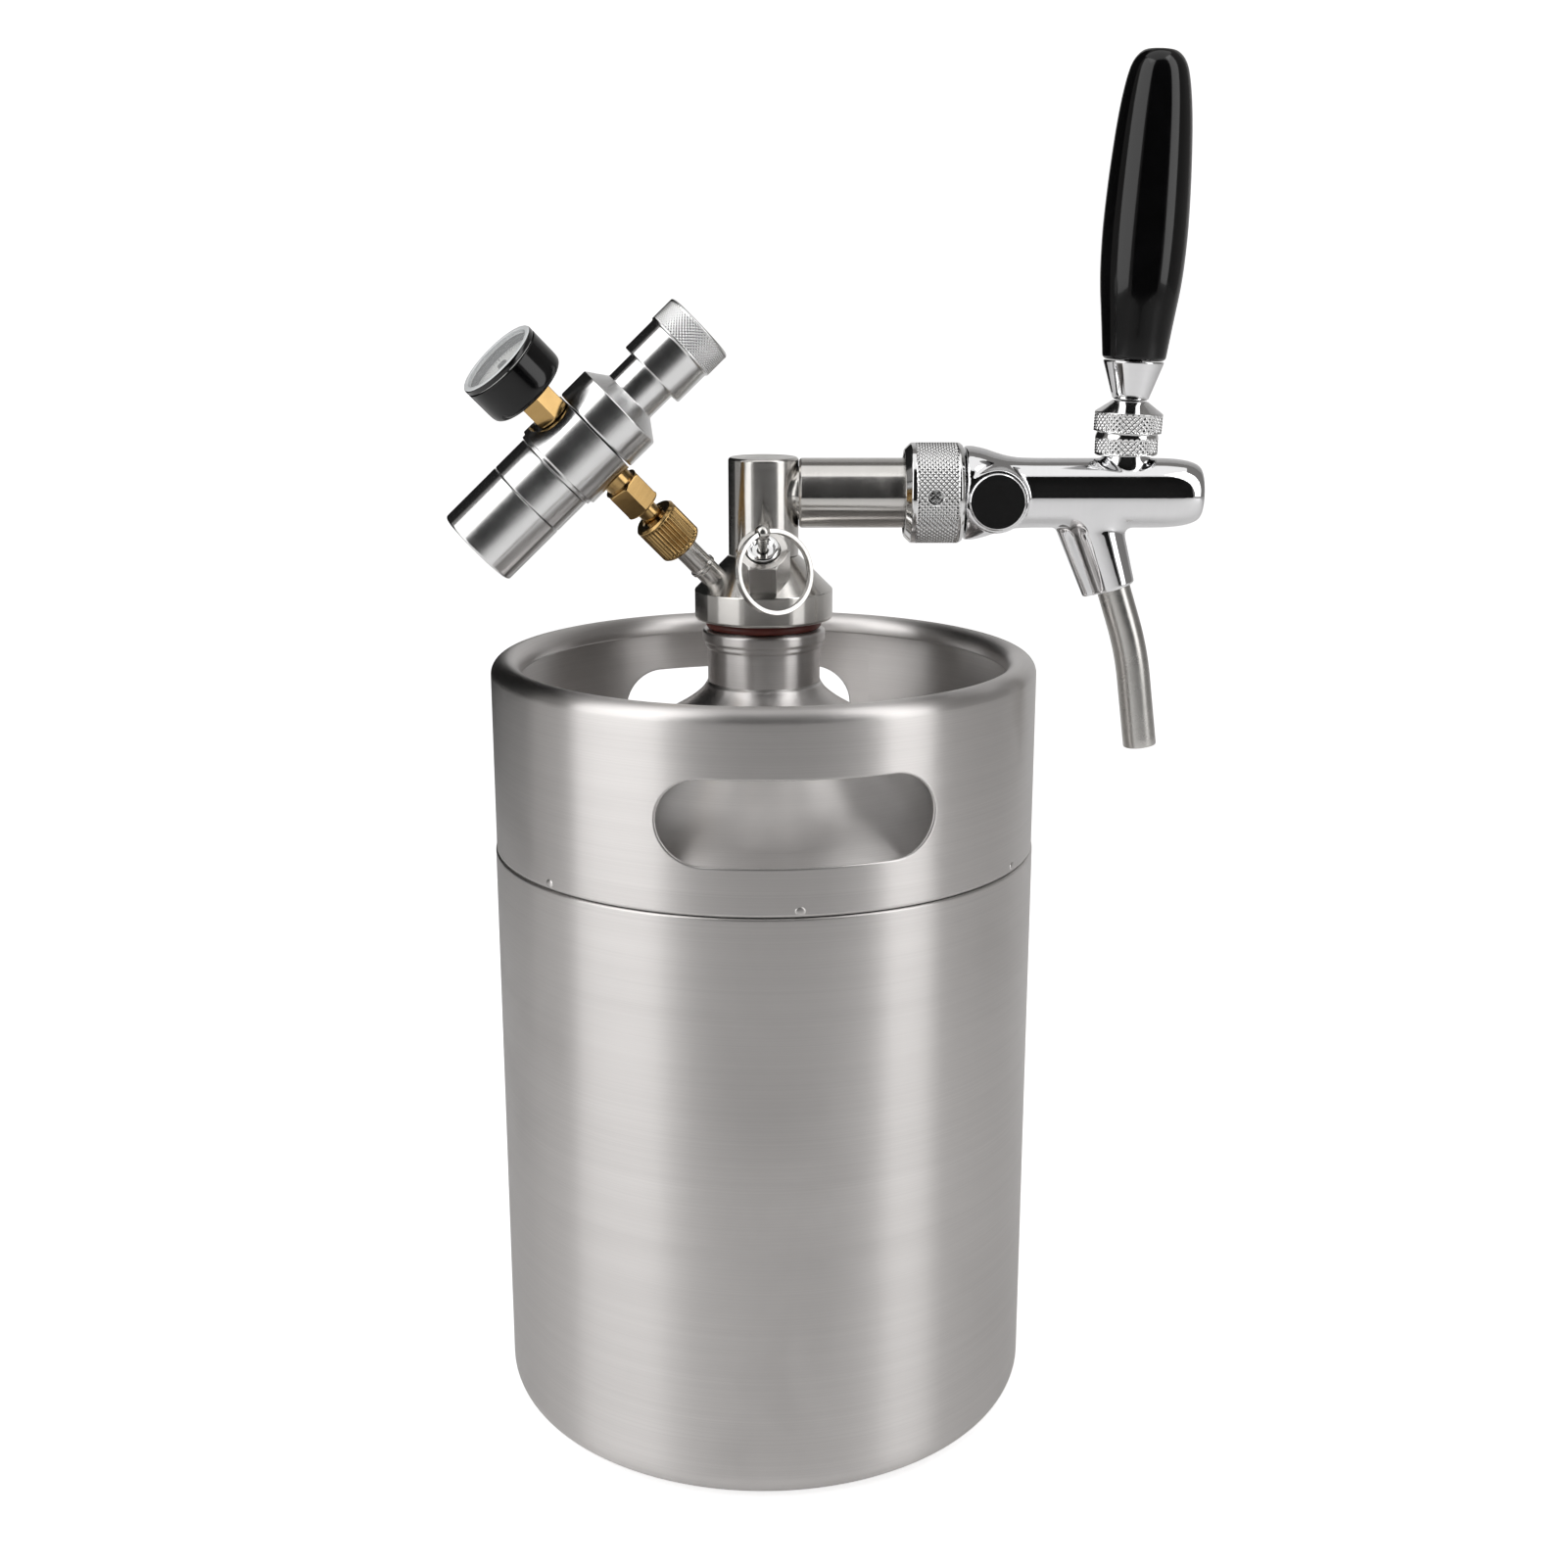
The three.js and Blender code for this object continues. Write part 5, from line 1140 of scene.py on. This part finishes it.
def makeKnob(c):
    skirt = rounded([[0, 42.8], [4.2, 42.8], [4.2, 36], [8.8, 36], [8.8, c["bottom"]], [10.5, c["bottom"]],
                     [c["sleeve"], 28.5], [c["sleeve"], 39.2], [c["grip"], 39.5], [c["grip"], 39.7]], 0.25, 4, False)
    face = band(c["grip"], c["gripFrom"], c["gripTo"], c["pitch"] / c["samples"])
    crown = rounded([[c["grip"], c["gripTo"] + 0.05], [10.6, c["top"]], [5.5, c["top"]], [5.0, c["top"] - 0.4],
                     [0, c["top"] - 0.4]], 0.2, 4, False)
    press = diamondKnurl(c["count"], c["pitch"], c["depth"], c["gripFrom"], c["gripTo"], c["grip"])
    return turned(np.concatenate([skirt, face, crown]), c["count"] * c["samples"], regulator, press, loop=False)


makePiece("adjustKnob", [makeKnob(knob)], "adjust_knob", ["adjust_knob"], brightAluminium)

# Gauge: brass stem, cupped case, bezel, lens and dial.
gaugeStem = {"acrossFlats": 10.0, "from": 12.2, "to": 21.2, "tail": 3.0, "bore": 1.0}
stemOutline = rounded([[gaugeStem["bore"], 5], [gaugeStem["tail"], 5], [gaugeStem["tail"], gaugeStem["from"]],
                       [5.2, gaugeStem["from"]], [5.78, 12.8], [5.78, 20.6], [5.2, gaugeStem["to"]],
                       [gaugeStem["tail"], gaugeStem["to"]], [gaugeStem["tail"], 24], [gaugeStem["bore"], 24]], 0.15)
makePiece("gaugeStem", [turned(stemOutline, place=gaugeAxes, angles=hexAngles(),
                               reshape=hexLimit(gaugeStem["acrossFlats"], 12.25, 21.15))],
          "regulator", ["gauge_stem"], machinedBrass)
gauge = {"radius": 12.75, "back": 21.6, "front": 35.3}
caseOutline = np.concatenate([
    rounded([[3.3, 23.2], [3.3, gauge["back"]], [9.8, gauge["back"]]], 0.2, 4, False),
    flowing([[10.2, 21.6], [11.4, 21.9], [12.5, 22.8], [gauge["radius"], 24.4], [gauge["radius"], 27]], 5),
    rounded([[gauge["radius"], 28], [gauge["radius"], 33.2], [11.8, 33.2], [11.8, 23.2], [3.6, 23.2]],
            0.25, 4, False)])
makePiece("gaugeCase", [turned(caseOutline, 128, gaugeAxes)], "regulator", ["gauge_case"], glossBlack)
bezelOutline = rounded([[11, 33.5], [gauge["radius"], 33.5], [gauge["radius"], 34.8], [12.3, gauge["front"]],
                        [11, gauge["front"]]], 0.35)
makePiece("gaugeBezel", [turned(bezelOutline, 128, gaugeAxes)], "regulator", ["gauge_bezel"], rimmedBezel)
lensOutline = np.concatenate([[[0, 33.8]], rounded([[10.7, 33.8], [10.7, 34.7]], 0.15, 3, False),
                              arcPoints(0, 34.7 - 190.6, 191.0, 86.79, 90, 12)])
makePiece("gaugeLens", [turned(lensOutline, 96, gaugeAxes, loop=False)], "regulator", ["gauge_lens"], clearLens)
dialOutline = rounded([[0.9, 31.6], [11.5, 31.6], [11.5, 31.0], [0.9, 31.0]], 0.1)
makePiece("gaugeDial", [turned(dialOutline, 96, gaugeAxes)], "regulator", ["gauge_dial"], dialFace)

# Outlet: hex fitting with a flanged tail, and the ribbed swivel nut on it.
outlet = {"acrossFlats": 10.7, "from": 16.6, "to": 26.1, "flange": 4.4, "neck": 3.1, "tail": 4.9}
outletOutline = rounded([[1.2, 5], [3, 5], [3, 12.3], [outlet["flange"], 12.3], [outlet["flange"], outlet["from"]],
                         [5.6, outlet["from"]], [6.18, 17.2], [6.18, 25.5], [5.6, outlet["to"]],
                         [outlet["neck"], outlet["to"]], [outlet["neck"], 32.8],
                         [outlet["tail"], 32.8], [outlet["tail"], 34.9], [1.2, 34.9]], 0.15)
makePiece("outletFitting", [turned(outletOutline, place=outletAxes, angles=hexAngles(),
                                   reshape=hexLimit(outlet["acrossFlats"], 16.65, 26.05))],
          "regulator", ["outlet_fitting"], machinedBrass)
swivel = {"outer": 6.95, "start": 30.8, "end": 43.8, "ribs": 32, "depth": 0.6, "ribFrom": 32.0, "ribTo": 42.6}
swivelOutline = np.concatenate([
    rounded([[3.5, swivel["start"]], [6.2, swivel["start"]], [swivel["outer"], 31.6], [swivel["outer"], 31.8]],
            0.2, 4, False),
    band(swivel["outer"], 31.95, 42.65, 0.5),
    rounded([[swivel["outer"], 42.8], [swivel["outer"], 43.0], [6.2, swivel["end"]], [5.5, swivel["end"]],
             [5.5, 32.4], [3.6, 32.4]], 0.2, 4, False)])
makePiece("swivelNut", [turned(swivelOutline, swivel["ribs"] * 8, outletAxes,
                               straightKnurl(swivel["ribs"], swivel["depth"], swivel["ribFrom"], swivel["ribTo"],
                                             swivel["outer"]))],
          "swivel_nut", ["swivel_nut"], machinedBrass)
print("regulator and gauge made")


# Studio: a pale sweep of floor and wall, two tall soft lights, an overhead light and dark cards that give
# the metal its bands.
studio = {"floorHalf": 2.2, "wallAt": 1.5, "curve": 0.7, "wallHeight": 2.4, "front": -3.0, "glow": 0.08,
          "glowSeen": 0.68}


def makeSweep(c):
    a = np.radians(np.linspace(-90, 0, 25))
    curve = np.stack([c["wallAt"] - c["curve"] + c["curve"] * np.cos(a), c["curve"] + c["curve"] * np.sin(a)], 1)
    line = np.concatenate([[[c["front"], 0]], curve, [[c["wallAt"], c["wallHeight"]]]])
    x = np.array([-c["floorHalf"], c["floorHalf"]])
    points = np.stack(np.broadcast_arrays(x[None, :], line[:, :1], line[:, 1:]), -1).reshape(-1, 3)
    i = np.arange(len(line) - 1)
    faces = np.stack([2 * i, 2 * i + 1, 2 * i + 3, 2 * i + 2], 1)
    mesh = bpy.data.meshes.new("studioSweep")
    mesh.from_pydata(points.tolist(), [], faces.tolist())
    mesh.polygons.foreach_set("use_smooth", np.ones(len(mesh.polygons), bool))
    made, tree, shader = newMaterial("paleSweep")
    noise = addNode(tree, "ShaderNodeTexNoise", {"Vector": addNode(tree, "ShaderNodeTexCoord").outputs["Object"],
                                                 "Scale": 3.0, "Detail": 3.0})
    tone = addNode(tree, "ShaderNodeMix", data_type="RGBA")
    tree.links.new(noise.outputs[0], tone.inputs[0])
    tone.inputs[6].default_value, tone.inputs[7].default_value = (0.86, 0.86, 0.86, 1), (0.9, 0.9, 0.9, 1)
    tree.links.new(tone.outputs[2], shader.inputs["Base Color"])
    shader.inputs["Roughness"].default_value = 0.6
    shader.inputs["Emission Color"].default_value = (1, 1, 1, 1)
    seen = addNode(tree, "ShaderNodeLightPath").outputs["Is Camera Ray"]
    glow = doMath(tree, "MULTIPLY_ADD", seen, c["glowSeen"] - c["glow"])
    glow.node.inputs[2].default_value = c["glow"]
    tree.links.new(glow, shader.inputs["Emission Strength"])
    mesh.materials.append(made)
    sweep = bpy.data.objects.new("studioSweep", mesh)
    bpy.context.scene.collection.objects.link(sweep)


makeSweep(studio)


def aimAt(thing, target):
    way = np.array(target, float) - np.array(thing.location)
    thing.rotation_euler = (math.atan2(math.hypot(way[0], way[1]), -way[2]), 0, math.atan2(-way[0], way[1]))


def softLight(name, turn, distance, height, size, power, target=(0, 0, 0.25)):
    light = bpy.data.lights.new(name, "AREA")
    light.shape, light.size, light.size_y, light.energy = "RECTANGLE", size[0], size[1], power
    thing = bpy.data.objects.new(name, light)
    a = math.radians(turn)
    thing.location = (distance * math.sin(a), -distance * math.cos(a), height)
    bpy.context.scene.collection.objects.link(thing)
    aimAt(thing, target)


lights = {"left": (-60, 1.0, 0.82, (0.95, 1.6), 8.4), "right": (60, 1.0, 0.82, (0.5, 1.6), 5.0),
          "top": (0, 0.15, 1.6, (1.5, 1.1), 4.2)}
for lightName, (turn, distance, height, size, power) in lights.items():
    softLight(lightName + "Light", turn, distance, height, size, power)


# A card: a flat sheet that is seen only in reflections.
def makeCard(name, points, shade):
    mesh = bpy.data.meshes.new(name)
    mesh.from_pydata([p.tolist() for p in points], [], [(0, 1, 2, 3)])
    made, tree, shader = newMaterial(name)
    shader.inputs["Base Color"].default_value = (shade, shade, shade, 1)
    shader.inputs["Roughness"].default_value = 0.9
    shader.inputs["Specular IOR Level"].default_value = 0.0
    mesh.materials.append(made)
    card = bpy.data.objects.new(name, mesh)
    bpy.context.scene.collection.objects.link(card)
    card.visible_camera = False
    card.visible_shadow = False
    card.visible_diffuse = False


cards = {"leftBackCard": (-138, 1.0, (1.25, 2.2), 1.11, 0.02), "frontCard": (6, 1.3, (2.0, 2.9), 1.46, 0.02)}
for cardName, (turn, distance, size, height, shade) in cards.items():
    a, halfSide, halfUp = math.radians(turn), size[0] / 2, size[1] / 2
    centre = np.array([distance * math.sin(a), -distance * math.cos(a), height])
    side, up = np.array([math.cos(a), math.sin(a), 0]) * halfSide, np.array([0, 0, halfUp])
    makeCard(cardName, [centre - side - up, centre + side - up, centre + side + up, centre - side + up], shade)

world = bpy.data.worlds.new("studioWorld")
bpy.context.scene.world = world
world.use_nodes = True
world.node_tree.nodes["Background"].inputs["Color"].default_value = (0.2, 0.195, 0.19, 1)
world.node_tree.nodes["Background"].inputs["Strength"].default_value = 1.0
bpy.context.scene.view_settings.view_transform = "Standard"
bpy.context.scene.view_settings.look = "None"

camera = bpy.data.cameras.new("studioCamera")
camera.sensor_width, camera.lens, camera.clip_start = 36.0, 45.705, 0.01
cameraThing = bpy.data.objects.new("studioCamera", camera)
cameraThing.location = (0.006222, -0.605794, 0.355381)
cameraThing.rotation_euler = (math.radians(75.65), 0, 0)
bpy.context.scene.collection.objects.link(cameraThing)
bpy.context.scene.camera = cameraThing
print("studio made")
